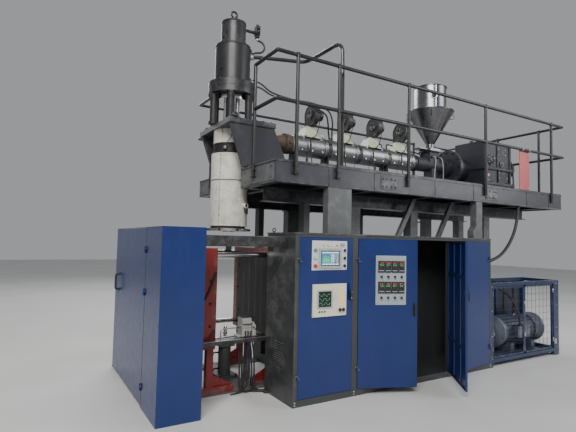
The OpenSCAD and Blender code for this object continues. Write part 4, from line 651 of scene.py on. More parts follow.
def door_details():
    for n, (hinge_x, w, _, side) in DOORS.items():
        body, turn = "door_%d" % n, door_frame(n)
        a, b = sorted((side * 12, side * (w - 12)))
        Part(body + "_seal", gasket, body, turn).border(a, 88, b, 1694, 8, 8, 31, 33.5).done()
        leaf_side = grid((side * 14, side * 26), 5, (276, 1458))
        Part(body + "_hinge_screws", zinc, body, turn).lathes(leaf_side, -Y, SMALL_SCREW, 12).done()
        # Stiffening ribs that show on an open leaf's inside
        rib = Part(body + "_ribs", "door_blue", body, turn)
        for share in (0.34, 0.68):
            c = side * w * share
            rib.prism([(c - 22, 13.5), (c - 14, 27), (c + 14, 27), (c + 22, 13.5)], 110, 1672)
        rib.done(1.5)
        post_side = grid((hinge_x - side * 12, hinge_x - side * 26), FRONT - 5, (308, 1490))
        Part("post_hinge_screws_%d" % n, zinc).lathes(post_side, -Y, SMALL_SCREW, 12).done()
    # Swing handle of the fourth door, plain handle of the second, locks of the others
    c = -(DOORS[4][1] - 40)
    handle = Part("door_4_handle", "handle_black", "door_4", door_frame(4))
    handle.box((c - 17, -4, 1040), (c + 17, 9.6, 1215)).box((c - 11, -24, 1052), (c + 11, -4, 1180))
    handle.lathe((c, 10, 1195), -Y, [(0, 0), (0, 14), (26, 13), (28, 9), (28, 0)], 20).done(2.5, 2)
    c = DOORS[2][1] - 36
    handle = Part("door_2_handle", "handle_black", "door_2", door_frame(2))
    handle.box((c - 15, -3, 850), (c + 15, 9.6, 1000)).box((c - 10, -20, 860), (c + 10, -3, 975)).done(2.5, 2)
    for n in (1, 3):
        _, w, _, side = DOORS[n]
        c = side * (w - 35)
        lock = Part("door_%d_lock" % n, zinc, "door_%d_handle" % n, door_frame(n))
        lock.lathe((c, -24, 1065), -Y, [(0, 0), (0, 7), (2.5, 7), (3, 5), (3, 0)], 18)
        lock.box((c - 9, -25.8, 1129), (c + 9, -24, 1133)).done()


def cabinet_shell():
    x0, x1 = -1952, 1216
    trim = Part("cabinet_roof_trim", "cabinet_grey")
    trim.box((x0 - 6, FRONT - 6, 1736), (x1, FRONT, 1756)).box((x0 - 6, FRONT, 1736), (x0, BACK + 6, 1756))
    trim.box((x0, BACK, 1736), (x1, BACK + 6, 1756)).done(1.5)
    Part("plinth_bolts", zinc).bolts(grid((-1927, -1172, 381, 1201), FRONT, (22, 48)), -Y, 8).done()
    eyes = Part("lifting_eyes", "cabinet_grey")
    for x in (-1900, 1160):
        eyes.lathe((x, -720, ROOF), Z, [(0, 0), (0, 18), (7, 18), (9, 10), (20, 9), (20, 0)], 20)
        circle = [TAU * k / 20 for k in range(21)]
        eyes.sweep([(x + 19 * math.cos(t), -720, 1786 + 19 * math.sin(t)) for t in circle], 6, 8)
    eyes.done()
    # Cooling louvres on the left side and the back
    louvres = Part("side_louvres", "cabinet_grey")
    for z in range(320, 585, 24):
        louvres.prism([(x0, z), (x0 - 8, z + 4), (x0 - 8, z + 8), (x0, z + 17)], -1080, -860, "y")
    louvres.done()
    louvres = Part("rear_louvres", "cabinet_grey")
    for x in (-1500, 700):
        for z in range(1240, 1553, 24):
            slat = [(BACK, z), (BACK + 9, z + 4), (BACK + 9, z + 8), (BACK, z + 17)]
            louvres.prism(slat, x - 150, x + 150, "x")
    louvres.done()
    seams = grid((-1172, -380, 381), BACK, 0)
    Part("rear_seams", gasket).boxes(seams, (-1.5, -0.3, 70), (1.5, 0.6, 1710)).done()
    places = grid((-1930, -1190, -1154, -400, -360, 361, 401, 1196), BACK, (110, 500, 900, 1300, 1680))
    Part("rear_screws", zinc).lathes(places, Y, [(0, 0), (0, 5), (1.8, 4.2), (2.6, 0)], 10).done()
    Part("bay_lamp", bar_white).box((-520, -1150, 1690), (-180, -1110, 1708)).done(3, 2)


def switchgear():
    """Contactors, terminal rows, ducts and looms on the mounting plate."""
    part = maker(turn=at(0, PLATE_Y))
    ducts = part("wire_ducts", pale_plastic)
    duct_z = (930, 1220, 1540)
    ducts.boxes(grid(range(-1040, 259, 22), 0, duct_z), (0, -52, 2), (12, -49, 38))
    ducts.boxes(grid(-1044, 0, duct_z), (0, -55, -1), (1320, -52, 41)).done()
    dark = part("contactor_fronts", "handle_black")
    pale = part("contactor_caps", pale_plastic)
    for x in range(-1034, 167, 150):
        dark.boxes(grid((x + 4, x + 58), 0, 1312), (0, -100, 0), (46, -90, 176))
        pale.boxes(grid((x + 12, x + 66), 0, 1370), (0, -108, 0), (30, -100, 60))
    for x in range(-1014, 97, 185):
        dark.boxes(grid(range(x + 4, x + 107, 34), 0, 1010), (0, -80, 0), (30, -70, 140))
        pale.boxes(grid(range(x + 12, x + 115, 34), 0, 1062), (0, -90, 0), (14, -80, 36))
    dark.done(1)
    pale.done(1)
    places = grid(range(-1036, 229, 16), 0, 306)
    part("terminal_rows", key_grey).boxes(places, (0, -74, 0), (12, -60, 58)).done()
    looms = part("wire_looms", wire_black)
    for k in range(26):
        x = -1020 + 49 * k + rng.uniform(-6, 6)
        # A draw that is spent here keeps the later ones as they are
        rng.choice(range(3))
        low_x = x + rng.uniform(-20, 20)
        high_x = x + rng.uniform(-12, 12)
        looms.hose([(x, -60, 372), (low_x, -66, 450), (high_x, -58, 560), (x, -50, 900)], 3.2, 6, 4)
    for k in range(18):
        x = -1010 + 72 * k
        looms.hose([(x, -84, 1310), (x + 6, -108, 1286), (x + 2, -90, 1262), (x, -56, 1256)], 2.6, 6, 4)
    looms.done()
    # Drive fronts low on the plate, with vents and small displays
    fronts = part("drive_fronts", key_grey)
    # Black strips stand in for the vent slots of the drive fronts: painted shade inside the openings.
    vents = part("drive_vents", wire_black)
    for x0, z0, x1, z1 in ((-1034, 560, -654, 880), (-554, 520, -214, 900), (-114, 600, 186, 860)):
        fronts.box((x0 + 10, -132, z0 + 10), (x1 - 10, -108, z1 - 10))
        vents.boxes(grid(0, 0, range(z0 + 30, z0 + 127, 12)), (x0 + 40, -132.8, 0), (x1 - 40, -131.5, 5))
    fronts.done(3, 2)
    vents.done()
    displays = ((-1000, 0, 800), (-520, 0, 820), (-90, 0, 790))
    part("drive_displays", bar_green).boxes(displays, (0, -132.9, 0), (60, -131.6, 26)).done()
    part("white_relay_box", "manifold_pale").box((-470, -190, 390), (-360, -62, 500)).done(3, 2)


screen_panel_detail()
controller_detail()
temperature_detail()
door_details()
cabinet_shell()
switchgear()


# Guard
GUARD_X = -3266.0
TRACK_X, TRACK_Y = -2400.0, -1120.0
COVER_SCREW = [(0, 0), (0, 7), (2.4, 6), (3.6, 0)]


def guard_details():
    part = maker(turn=at(GUARD_X))
    door_part = maker("guard_door", at(GUARD_X))
    hinge_z = (200, 1126, 1546)
    leaves = part("guard_hinge_leaves", "handle_black")
    leaves.boxes(grid(0, 0, hinge_z), (-9, -594, 1), (-0.4, -556, 31))
    for z in hinge_z:
        leaves.lathe((-10, -553, z + 32.4), Z, [(0, 0), (0, 9), (3, 8), (5, 4), (5, 0)], 16)
    leaves.done(1, 2)
    places = grid(-9, (-586, -570), (216, 1142, 1562))
    part("guard_hinge_screws", zinc).lathes(places, -X, [(0, 0), (0, 3.6), (1.4, 3), (2, 0)], 12).done()
    leaves = door_part("guard_door_hinge_leaves", "handle_black")
    leaves.boxes(grid(0, 0, hinge_z), (-9, -549, -31), (-0.4, -512, -1)).done(1, 2)
    bend = ((-1, 1024), (-34, 1026), (-47, 1044), (-49, 1116), (-47, 1188), (-34, 1206), (-1, 1208))
    grip = door_part("guard_handle_grip", "handle_black")
    grip.hose([(x, 760, z) for x, z in bend], 13, 12, 5)
    grip.lathes(grid(0, 760, (1020, 1212)), -X, [(0, 0), (0, 22), (4, 21), (5, 0)], 20).done()
    seal = door_part("guard_door_seal", gasket)
    seal.boxes(grid(27, (-548, 1020), 30), (0, 0, 0), (2.5, 8, 1732))
    seal.boxes(grid(27, -540, (30, 1754)), (0, 0, 0), (2.5, 1560, 8)).done()
    # Folded top edge of the enclosure
    trim = part("guard_trim", "guard_blue").boxes(grid(0, (-1120, 1035), 1770), (0, 0, 0), (418, 6, 6))
    trim.box((0, -1114, 1770), (6, 1035, 1776)).done(1.2)
    screws = part("guard_screws", "guard_blue")
    screw_z = (60, 420, 880, 1340, 1700)
    screws.lathes(grid((28, 394), -1120, screw_z), -Y, COVER_SCREW, 12)
    screws.lathes(grid((28, 394), 1041, screw_z), Y, COVER_SCREW, 12)
    screws.lathes(grid(0, -1098, screw_z), -X, COVER_SCREW, 12).done()
    part("interlock_switch", "plate_red").box((31, 880, 1730), (66, 960, 1766)).done(2, 2)
    part("guard_door_seam", "black_metal").box((-1.4, -557.5, 20), (-0.2, -552, 1768)).done()


def track_details():
    """Dark cover with a painted highlight strip along its top edge, lower lip, bolts, rollers and brackets.
    """
    part = maker(turn=at(TRACK_X, TRACK_Y))
    part("track_skin", "black_metal").box((-447.8, -1, 1615), (447.8, 0.4, 1706)).done()
    # A thin bright steel strip on the track's top edge is a painted highlight.
    part("track_top_highlight", "machined_steel").box((-447.8, -3, 1704.6), (447.8, 30, 1708)).done(0.6)
    part("track_lip", "black_metal").box((-448, -4, 1600), (448, 0, 1614)).done(0.6)
    part("track_bolts", "black_metal").bolts(grid(range(-400, 440, 140), -1, 1664), -Y, 10).done()
    roller = [(0, 0), (0, 17), (4, 17), (5, 13), (11, 13), (12, 17), (16, 17), (16, 0)]
    part("track_rollers", zinc).lathes(grid((-300, -160, 150, 320), 8, 1628), Y, roller).done()
    brackets = part("track_brackets", "black_metal")
    for x in (-200, 270):
        brackets.box((x - 30, 44, 1560), (x + 30, 50, 1700)).box((x - 30, 44, 1560), (x + 30, 90, 1566))
    brackets.done(1)


# Platform and rails
COLUMNS = ((-980, -600, (-1, 1)), (311, 451, (-1, 1)), (1930, 2070, (-1, 1)), (2830, 2970, (1,)))
FRONT_POSTS = (-1900, -1345, -254, 1270, 2956)
SPLICES = (-560, 1420)
PLATFORM_X0, PLATFORM_X1, PLATFORM_Y = -2134.0, 3266.0, 1140.0
SPLICE_Y, POST_Y = PLATFORM_Y + 7, PLATFORM_Y + 21
FASCIA_LOW, FASCIA_TOP = 2275.0, 2505.0
TOP_RAIL_Z, MID_RAIL_Z = DECK_Z + 1135, DECK_Z + 625


def fascia_details():
    """Flanges stand proud of the web along the front, the back and the ends."""
    x0, x1, y = PLATFORM_X0, PLATFORM_X1, PLATFORM_Y
    low, top = FASCIA_LOW, FASCIA_TOP
    flanges = Part("fascia_flanges", "platform_dark")
    stiffeners = Part("fascia_stiffeners", "platform_dark")
    splices = Part("splice_plates", "platform_dark")
    edge = Part("deck_edge", "platform_dark")
    for s in (-y, y):
        proud = math.copysign(7, s)
        flanges.boxes(grid(0, 0, (low, top - 14)), (x0, s, 0), (x1, s + proud, 14))
        stiffeners.boxes(grid((-1450, -790, 255, 1035, 1560, 2300, 2900), s, 0),
                         (-5, 0, low + 14), (5, math.copysign(6, s), top - 14))
        splices.boxes(grid(SPLICES, s, 0), (-130, 0, low + 40), (130, proud, top - 40))
        edge.box((x0, s - math.copysign(6, s), 2505), (x1, s + math.copysign(8, s), 2516))
    for z in (low, top - 14):
        flanges.box((x1, -y, z), (x1 + 7, y, z + 14))
        flanges.box((x0 - 7, -y, z), (x0, -300, z + 14)).box((x0 - 7, 300, z), (x0, y, z + 14))
    flanges.done(1.5)
    stiffeners.done()
    splices.done(1.5)
    edge.done(1)
    bolts = Part("platform_bolts", "platform_dark")
    for x, dx, z in grid(SPLICES, (-100, -40, 40, 100), (low + 70, top - 70)):
        bolts.bolt((x + dx, -SPLICE_Y, z), -Y, 14).bolt((x + dx, SPLICE_Y, z), Y, 14)
    bolts.bolts(grid(x0, (-1050, -700, -420, 420, 700, 1050), (low + 60, top - 60)), -X, 14)
    bolts.bolts(grid(FRONT_POSTS, -1181, (2392, 2452)), -Y, 10).done()
    # Lighter grey plates on the platform's left end face paint in the light that falls on that side.
    plates = Part("end_face_plates", "frame_grey")
    plates.boxes(((x0, -1120, 0), (x0, 320, 0)), (-5, 0, low + 22), (0, 800, top - 22)).done(1.5)


def deck_details():
    places = grid(range(-1750, 3230, 330), (-1100, 1100), DECK_Z)
    Part("deck_screws", zinc).lathes(places, Z, [(0, 0), (0, 8), (2, 7), (3, 0)], 12).done()
    seams = Part("deck_seams", gasket)
    for x, (y0, y1) in itertools.product((-790, 470, 1870), ((-1132, -500), (250, 1132))):
        seams.box((x - 2, y0, 2514.6), (x + 2, y1, 2515.5))
    seams.done()


def column_details():
    """Base and head plates, gussets and anchor nuts of the columns and stools."""
    plates = Part("column_plates", "frame_grey")
    bolts = Part("column_bolts", "frame_grey")
    for x0, x1, sides in COLUMNS:
        for y in (590 * side for side in sides):
            plates.boxes(grid(0, y, (100, 2103)), (x0 - 28, -69, 0), (x1 + 28, 69, 12))
            for x, tip in ((x0 - 26, x0 - 14), (x1 + 14, x1 + 14)):
                plates.prism([(x, 112), (x + 12, 112), (tip, 190)], y - 5, y + 5, "y")
            bolts.nuts(grid((x0 - 15, x1 + 15), (y - 45, y + 45), 112), 14)
    plates.done(1)
    for x, y in itertools.product((-900, 900), (-460, 460)):
        bolts.nuts(grid((x + 52, x - 52), y, 20), 16)
    bolts.done()
    welds = Part("stool_welds", "frame_grey")
    for x0, x1 in ((-1460, -1134), (1086, 1216)):
        welds.sweep([(x0, -1141, 2274), (x1, -1141, 2274)], 5, 8)
    welds.done()
    feet = Part("stool_feet", "frame_grey").box((-1460, -1176, 1750), (-1134, -1004, 1758))
    feet.box((1026, -1176, 1750), (1214, -1004, 1758)).done(1)


def tray_details():
    """Cable tray under the platform."""
    tray = Part("under_tray", "mesh_steel").box((-1300, -470, 2200), (2900, -300, 2204))
    tray.boxes(grid(-1300, (-470, -303), 2204), (0, 0, 0), (4200, 3, 48)).done()
    places = grid((-1200, -400, 255, 1035, 1560, 2300, 2800), (-474, -297), 2198)
    Part("tray_hangers", zinc).boxes(places, (-12, -1, 0), (12, 1.5, 77)).done()
    cables = Part("tray_cables", wire_black)
    for k in range(7):
        y = -455 + 23 * k
        cables.hose([(-1290 + 60 * k, y, 2214), (-400, y + rng.uniform(-6, 6), 2214 + rng.uniform(0, 6)),
                     (600, y, 2215), (1700, y + rng.uniform(-6, 6), 2214), (2880, y, 2215)], 9.5, 8, 5)
    cables.done()


def rail_details():
    collar = [(0, 0), (0, 21.4), (5, 25), (11, 23), (41, 23), (47, 25), (52, 21.4), (52, 0)]
    levels = (MID_RAIL_Z - 26, TOP_RAIL_Z - 26)
    collars = Part("rail_welds", "rail_dark").lathes(grid(FRONT_POSTS, -POST_Y, levels), Z, collar, 20)
    for x in FRONT_POSTS:
        collars.tube((x, -POST_Y, 2370), (x, -POST_Y, 2376), 24, 3, 20)
    collars.lathes(grid((-1900, -1345, -254, 1270, 2290, 2890), POST_Y, levels), Z, collar, 20)
    collars.lathes(grid(3287, (-770, 0, 770), levels), Z, collar, 20).done()
    plates = Part("rail_foot_plates", "rail_dark")
    plates.boxes(grid(FRONT_POSTS, -1166, (2376, 2460)), (-34, 0, 0), (34, 25.7, 8))
    for z0, z1 in ((2366, 2380), (2440, 2448)):
        plates.boxes(grid(-2176, (-660, 660), 0), (0, -36, z0), (41.7, 36, z1))
    plates.done(1.5)
    ladder = Part("ladder_details", "rail_dark")
    ladder.lathes(grid((2336, 2840), 1220, range(300, 2515, 300)), X, plug(19, 4), 16)
    ladder.boxes(grid((2340, 2820), 1186, 0), (-20, 0, 0), (40, 68, 10)).done(0.8)
    Part("red_plate_bolts", zinc).bolts(grid((2150, 2336), -1139.7, (2560, 3080)), -Y, 9).done()
    clips = Part("red_plate_clips", zinc)
    for x in (2160, 2327):
        clips.tube((x - 10, -POST_Y, MID_RAIL_Z), (x + 10, -POST_Y, MID_RAIL_Z), 24.5, 21.2)
    clips.done()


guard_details()
track_details()
fascia_details()
deck_details()
column_details()
tray_details()
rail_details()


# Accumulator head, in its own frame about the upright axis
STACK_LOW, FLANGE_TOP, ACC_TOP, TOP_TOP, TOP_PLATE_Z = 3455.0, 3604.0, 4093.0, 4404.0, 3070.0
HEAD_LOW, SEAM_Z, NECK_Z0, NECK_Z1, BRACKET_TOP = 1830.0, 2384.0, 2714.0, 2839.0, 3010.0
COVER_R, NECK_COVER_R, ACC_R, TOP_R, FLANGE_R = 230.0, 210.0, 222.0, 157.0, 295.0
SPLITS = (-142, 38)
TERMINAL_ANGLE, TERMINAL_Z = -62, (HEAD_LOW + 250, SEAM_Z + 130)
PROBE_ANGLES, PROBE_Z = (-128, -72), (NECK_Z0 + NECK_Z1) / 2 - 8


head_part = maker(turn=at(HEAD_X))


def around(r, n, start, z):
    """Points on a level circle, from start in degrees."""
    return [level(a) * r + Z * z for a in angles(n, math.radians(start))]


def side(r, degrees, z):
    """Point on the head's skin and the direction that leaves it."""
    out = level(math.radians(degrees))
    return out * r + Z * z, out


def ring(part, z0, z1, r_out, r_in, n=64):
    """Flat band round the head between two heights."""
    return part.lathe((0, 0, z0), Z, [(0, r_in), (0, r_out), (z1 - z0, r_out), (z1 - z0, r_in)], n)


def stack_details():
    trim = head_part("stack_trim", "cylinder_dark")
    trim.lathe((0, 0, FLANGE_TOP + 0.2), Z, [(0, ACC_R - 0.5), (0, ACC_R + 13), (12, ACC_R - 0.5)], 64)
    trim.lathe((0, 0, ACC_TOP + 0.2), Z, [(0, TOP_R - 0.5), (0, TOP_R + 10), (10, TOP_R - 0.5)], 64)
    ring(trim, ACC_TOP - 26, ACC_TOP - 2, ACC_R + 2.5, ACC_R - 1)
    ring(trim, TOP_TOP - 22, TOP_TOP - 3, TOP_R + 2, TOP_R - 1)
    ring(trim, FLANGE_TOP - 74, FLANGE_TOP - 70, FLANGE_R + 1.2, FLANGE_R - 1, 80).done()
    bolts = head_part("stack_bolts", "black_metal")
    bolts.lathes(around(263, 12, 34, FLANGE_TOP), Z, socket_head(15, 16, 2, 8, 11), 14)
    bolts.bolts(around(192, 10, 11, ACC_TOP), Z, 18).bolts(around(128, 8, 22.5, TOP_TOP), Z, 14)
    collar = [(0, 44.5), (0, 49), (21.5, 49), (21.5, 44.5)]
    bolts.lathes(around(245, 6, 4, STACK_LOW - 22), Z, collar, 32).done()
    threads = head_part("post_threads", "dark_steel")
    for k in range(9):
        threads.lathes(around(245, 6, 4, STACK_LOW - 100 + 6.2 * k), Z, [(0, 44.5), (1.6, 46.6), (3.2, 44.5)])
    threads.done()
    ports = head_part("stack_ports", "dark_steel")
    for r, degrees, z, size in ((ACC_R, -150, 3760, 20), (ACC_R, -40, 4045, 18), (TOP_R, -165, 4180, 16),
                                (TOP_R, -98, 4372, 12)):
        p, out = side(r - 3, degrees, z)
        ports.lathe(p, out, [(0, 0), (0, size * 1.3), (7, size * 1.3), (8, size * 1.1), (8, 0)], 20)
        ports.lathe(p + out * 7.8, out, plug(size * 0.8, size * 0.7), 6, False)
    ports.done()


def union_nut(part, a, axis, r, length):
    """Hexagon nut and sleeve over the end of a pipe or hose."""
    a, axis = Vector(a), Vector(axis).normalized()
    hexagon = [(0, r + 0.3), (0, 1.55 * r), (length, 1.55 * r), (length, r + 0.3)]
    sleeve = [(-0.5, r + 0.3), (-0.5, 1.32 * r), (0.7 * length, 1.22 * r), (0.7 * length, r + 0.3)]
    return part.lathe(a, axis, hexagon, 6, False).lathe(a + axis * length, axis, sleeve, 18)


def valve_details():
    x, z = TOP_R + 149, ACC_TOP + 242
    unions = head_part("hose_unions", zinc)
    unions.cyl((180, -60, 4003), (ACC_R + 1, -60, 4003), 43, 32, 2)
    union_nut(unions, (ACC_R + 1, -60, 4003), X, 24, 22)
    union_nut(unions, (ACC_R + 1, -60, FLANGE_TOP + 109), X, 11, 18)
    union_nut(unions, (ACC_R - 1, -77, FLANGE_TOP + 31), X, 11, 18)
    union_nut(unions, (x + 25, 0, z - 45), (1, 0, -25), 13, 12).done()
    valve = Part("valve_detail", "black_metal", turn=at(HEAD_X + x, 0, z)).box((6, 40, 22), (44, 66, 96))
    for z in (36, 84):
        valve.cyl((24, -40, z), (24, -66, z), 17, 20, 2).cyl((24, -66, z), (24, -76, z), 9, 14)
    for x, y, z in grid((8, 42), -40, (12, 108)):
        valve.cyl((x, y, z), (x, y - 6, z), 5, 12)
    valve.done(0.8)


def cover_details():
    """Rolled rims and split lines of the heater covers."""
    rims = head_part("cover_rims", "cream_cover")
    for r, crown, levels in ((COVER_R, COVER_R + 3.2, (HEAD_LOW + 4, SEAM_Z - 10, SEAM_Z + 10, NECK_Z0 - 5)),
                             (NECK_COVER_R, NECK_COVER_R + 3, (NECK_Z1 + 6, BRACKET_TOP - 7))):
        profile = [(-4, r - 1), (-2.5, r + 2.2), (0, crown), (2.5, r + 2.2), (4, r - 1)]
        rims.lathes(grid(0, 0, levels), Z, profile, 72)
    spans = ((HEAD_LOW + 9, SEAM_Z - 15, COVER_R), (SEAM_Z + 15, NECK_Z0 - 10, COVER_R),
             (NECK_Z1 + 12, BRACKET_TOP - 13, NECK_COVER_R))
    seams = head_part("cover_seams", "black_metal")
    ring(seams, SEAM_Z - 5, SEAM_Z + 5, COVER_R + 0.8, COVER_R - 4, 72)
    for degrees in SPLITS:
        rims.turn = seams.turn = turned(HEAD_X, 0, degrees)
        for z0, z1, r in spans:
            rims.boxes(grid(r, (-7, 3), 0), (-3, 0, z0), (11, 2.5, z1))
        for z in (HEAD_LOW + 120, HEAD_LOW + 430, SEAM_Z + 80, SEAM_Z + 250):
            seams.cyl((COVER_R + 5, -10, z), (COVER_R + 5, 11, z), 4, 10)
    rims.done(0.5)
    seams.done()


def neck_details():
    neck = head_part("neck_detail", "dark_steel")
    for i in range(12):
        p, out = side(211, 15 + 30 * i, (NECK_Z0 + NECK_Z1) / 2)
        neck.lathe(p, out, socket_head(13, 10, 2, 6, 7), 12)
    ring(neck, NECK_Z0 + 8, NECK_Z0 + 22, 215, 211)
    ring(neck, NECK_Z1 - 22, NECK_Z1 - 8, 215, 211).done()
    probes = head_part("melt_probes", zinc)
    profile = [(0, 0), (0, 15), (13, 15), (13, 8), (30, 8), (30, 17), (58, 17), (61, 14), (61, 0)]
    for degrees in PROBE_ANGLES:
        probes.lathe(*side(211.5, degrees, PROBE_Z), profile, 16)
    probes.done()


def terminal_details():
    """Round heater terminals and the leads that rise from them and from the probes."""
    terminals = head_part("heater_terminals", pale_plastic)
    caps = head_part("heater_terminal_caps", "black_metal")
    for z in TERMINAL_Z:
        p, out = side(COVER_R + 37, TERMINAL_ANGLE, z)
        terminals.lathe(p, out, [(0.2, 24), (0.2, 33.5), (7, 33.5), (9, 31), (9, 24)], 32)
        caps.lathe(p, out, [(0.3, 0), (0.3, 23.8), (4, 23.8), (5, 10), (5, 0)], 32)
        caps.lathe(p + out * 4.8, out, [(0, 0), (0, 7), (9, 6), (9, 0)], 12)
    terminals.done()
    caps.done()
    leads = head_part("head_leads", "hose_black")
    for z, lean in zip(TERMINAL_Z, (16, 5)):
        p, _ = side(COVER_R + 18, TERMINAL_ANGLE, z - 31)
        q, _ = side(COVER_R + 16, TERMINAL_ANGLE + lean, z - 95)
        s, _ = side(COVER_R + 6, TERMINAL_ANGLE + 1.6 * lean, z - 30)
        e, _ = side(COVER_R + 6, -40, z + 130)
        leads.hose([p, p - Z * 30, q, s, (s + e) / 2 + Z * 8, e, e + Z * 70], 6)
    for degrees in PROBE_ANGLES:
        p, out = side(270, degrees, PROBE_Z)
        q, _ = side(262, degrees + 14, NECK_Z1 + 40)
        e, _ = side(216, degrees + 24, BRACKET_TOP - 20)
        leads.hose([p, p + out * 18 + Z * 6, q, (q + e) / 2, e, e + Z * 22], 4.5, 8)
    leads.done()


def die_details():
    """Adjusting screws and heater of the die ring."""
    screws = head_part("die_screws", "dark_steel")
    for i in range(8):
        p, out = side(262, 45 * i, HEAD_LOW - 45)
        screws.lathe(p, out, plug(9, 14), 12).lathe(p + out * 13.8, out, plug(13, 12), 6, False)
    screws.bolts(around(214, 12, 10, HEAD_LOW - 30), Z, 12).done()
    heater = ring(head_part("die_heater", "band_brown"), HEAD_LOW - 27, HEAD_LOW - 4, 206, 199)
    heater.box((-225, -18, HEAD_LOW - 27), (-203, 18, HEAD_LOW - 5)).done(0.8)


def bracket_details():
    """Bolts, welds, lugs and a painted highlight on the top plate's end face, its lit side."""
    bolts = head_part("bracket_bolts", "black_metal")
    welds = head_part("bracket_welds", "platform_dark")
    for y in (-450, 450):
        bolts.bolts(grid(range(-195, 326, 104), y, TOP_PLATE_Z), Z, 20)
        bolts.bolts(grid(range(75, 496, 105), (y - 58, y + 58), DECK_Z + 20), Z, 20)
        for root, toe in ((y - 20, y - 29), (y + 20, y + 29)):
            welds.prism([(root, BRACKET_TOP - 9), (toe, BRACKET_TOP), (root, BRACKET_TOP)], -212, 358, "x")
            welds.prism([(root, DECK_Z + 29), (toe, DECK_Z + 20), (root, DECK_Z + 20)], 30, 540, "x")
    bolts.done()
    welds.done()
    # The bright steel strip on the top plate's end face is a painted highlight of its lit side.
    face = head_part("top_plate_face", "machined_steel")
    face.box((-232, -487, BRACKET_TOP), (-230.2, 487, TOP_PLATE_Z)).done(0.3)
    lugs = head_part("bracket_lugs", "platform_dark")
    for y in (-470, 430):
        lugs.lathe((-150, y, TOP_PLATE_Z + 34), Y, [(0, 14), (0, 34), (20, 34), (20, 14)])
        lugs.box((-184, y, TOP_PLATE_Z), (-116, y + 20, TOP_PLATE_Z + 22))
    lugs.done(0.8)


stack_details()
valve_details()
cover_details()
neck_details()
terminal_details()
die_details()
bracket_details()


# Extruder line, in a frame whose x axis is the screw's
BLOWER_X = (-1004.99, -434.88, 121.96, 672.05)
COVERS = ((-1240.0, -744.93), (-674.93, -195.05), (-125.05, 370.06), (440.06, 936.0))
COVER_SKIN_R = 145.0
STAND_X = (-709.93, -160.05, 405.06)
DECK = DECK_Z - AXIS_Z
FAN_Y, FAN_Z, HOPPER_X = -80.0, AXIS_Z + 430, 1440.0
line_part = maker(turn=at(0, 0, AXIS_Z))


def rise(degrees):
    """Direction square to the line, degrees up from the operator's side."""
    a = math.radians(degrees)
    return Vector((0, -math.cos(a), math.sin(a)))


def on_cover(x, degrees, lift=0.0):
    return X * x + rise(degrees) * (COVER_SKIN_R + lift)


def wheel(x, r, n, start=0.0):
    """Points on a circle about the line."""
    return [X * x + spoke(a) * r for a in angles(n, start)]


def barrel_cover_details():
    beads = line_part("cover_beads", "cover_steel")
    clips = line_part("cover_clips", zinc)
    for x0, x1 in COVERS:
        bead = [(-3.5, 144), (-2, 146.4), (0, 147.2), (2, 146.4), (3.5, 144)]
        beads.lathes(grid((x0 + 5, x1 - 18, (x0 + x1) / 2 - 70), 0, 0), X, bead, 72)
        for low in (-38, -34.8, 218, 221.2):
            corners = ((144, low), (156, low), (156, low + 0.8), (144, low + 0.8))
            beads.prism([(r * rise(degrees)).yz for r, degrees in corners], x0 + 8, x1 - 22, "x")
        for k in range(3):
            p = on_cover(x0 + 70 + k * (x1 - x0 - 160) / 2, -36, 6)
            clips.cyl(p + Vector((0, 3, -8)), p + Vector((0, -3, 8)), 4, 10)
            clips.boxes([p], (-9, -9, 8), (9, 1, 34))
    beads.done()
    clips.done(0.6)


def band_details():
    screws = line_part("heater_band_screws", "dark_steel")
    for x, degrees in itertools.product(STAND_X, (20, 110, 200, 290)):
        out = rise(degrees)
        screws.boxes([X * x + out * 139.5], (-20, -9, -9), (20, 9, 9))
        screws.cyl(X * (x - 26) + out * 145.5, X * (x + 26) + out * 145.5, 4.5, 10)
    band = [(0, 116), (0, 119.5), (8, 119.5), (8, 116)]
    screws.lathes(grid((954, 1000, 1030), 0, 0), X, band, 48).done(0.6)
    bolts = line_part("adapter_bolts", "dark_steel")
    bolts.bolts(wheel(-1640, 100, 8, 0.2), -X, 16).bolts(wheel(-1600, 100, 8, 0.2), X, 16).done()
    bands = line_part("adapter_bands", "band_brown")
    for x in (-1780, -1700):
        bands.lathe((x, 0, 0), X, [(0, 37), (0, 50), (50, 50), (50, 37)], 32)
        bands.box((x + 8, -62, -14), (x + 42, -48, 14))
    bands.lathe((-1398, 0, 0), X, [(0, 129), (0, 136), (84, 136), (84, 129)], 48)
    bands.box((-1380, -150, -16), (-1330, -134, 16)).done(0.6)


def cowl_details():
    trim = line_part("cowl_trim", "cowl_cream")
    bolts = line_part("cowl_bolts", zinc)
    for x in BLOWER_X:
        trim.prism(rect(x - 72, -73, x + 72, 73), 270.8, 274.6)
        trim.boxes(grid(x, (-122, 122), 0), (-140, -2, 111), (140, 2, 127))
        for dx, s in itertools.product((-115, 0, 115), (-1, 1)):
            bolts.cyl((x + dx, s * 124, 119), (x + dx, s * 129, 119), 5, 10)
    trim.done(0.5)
    bolts.done()


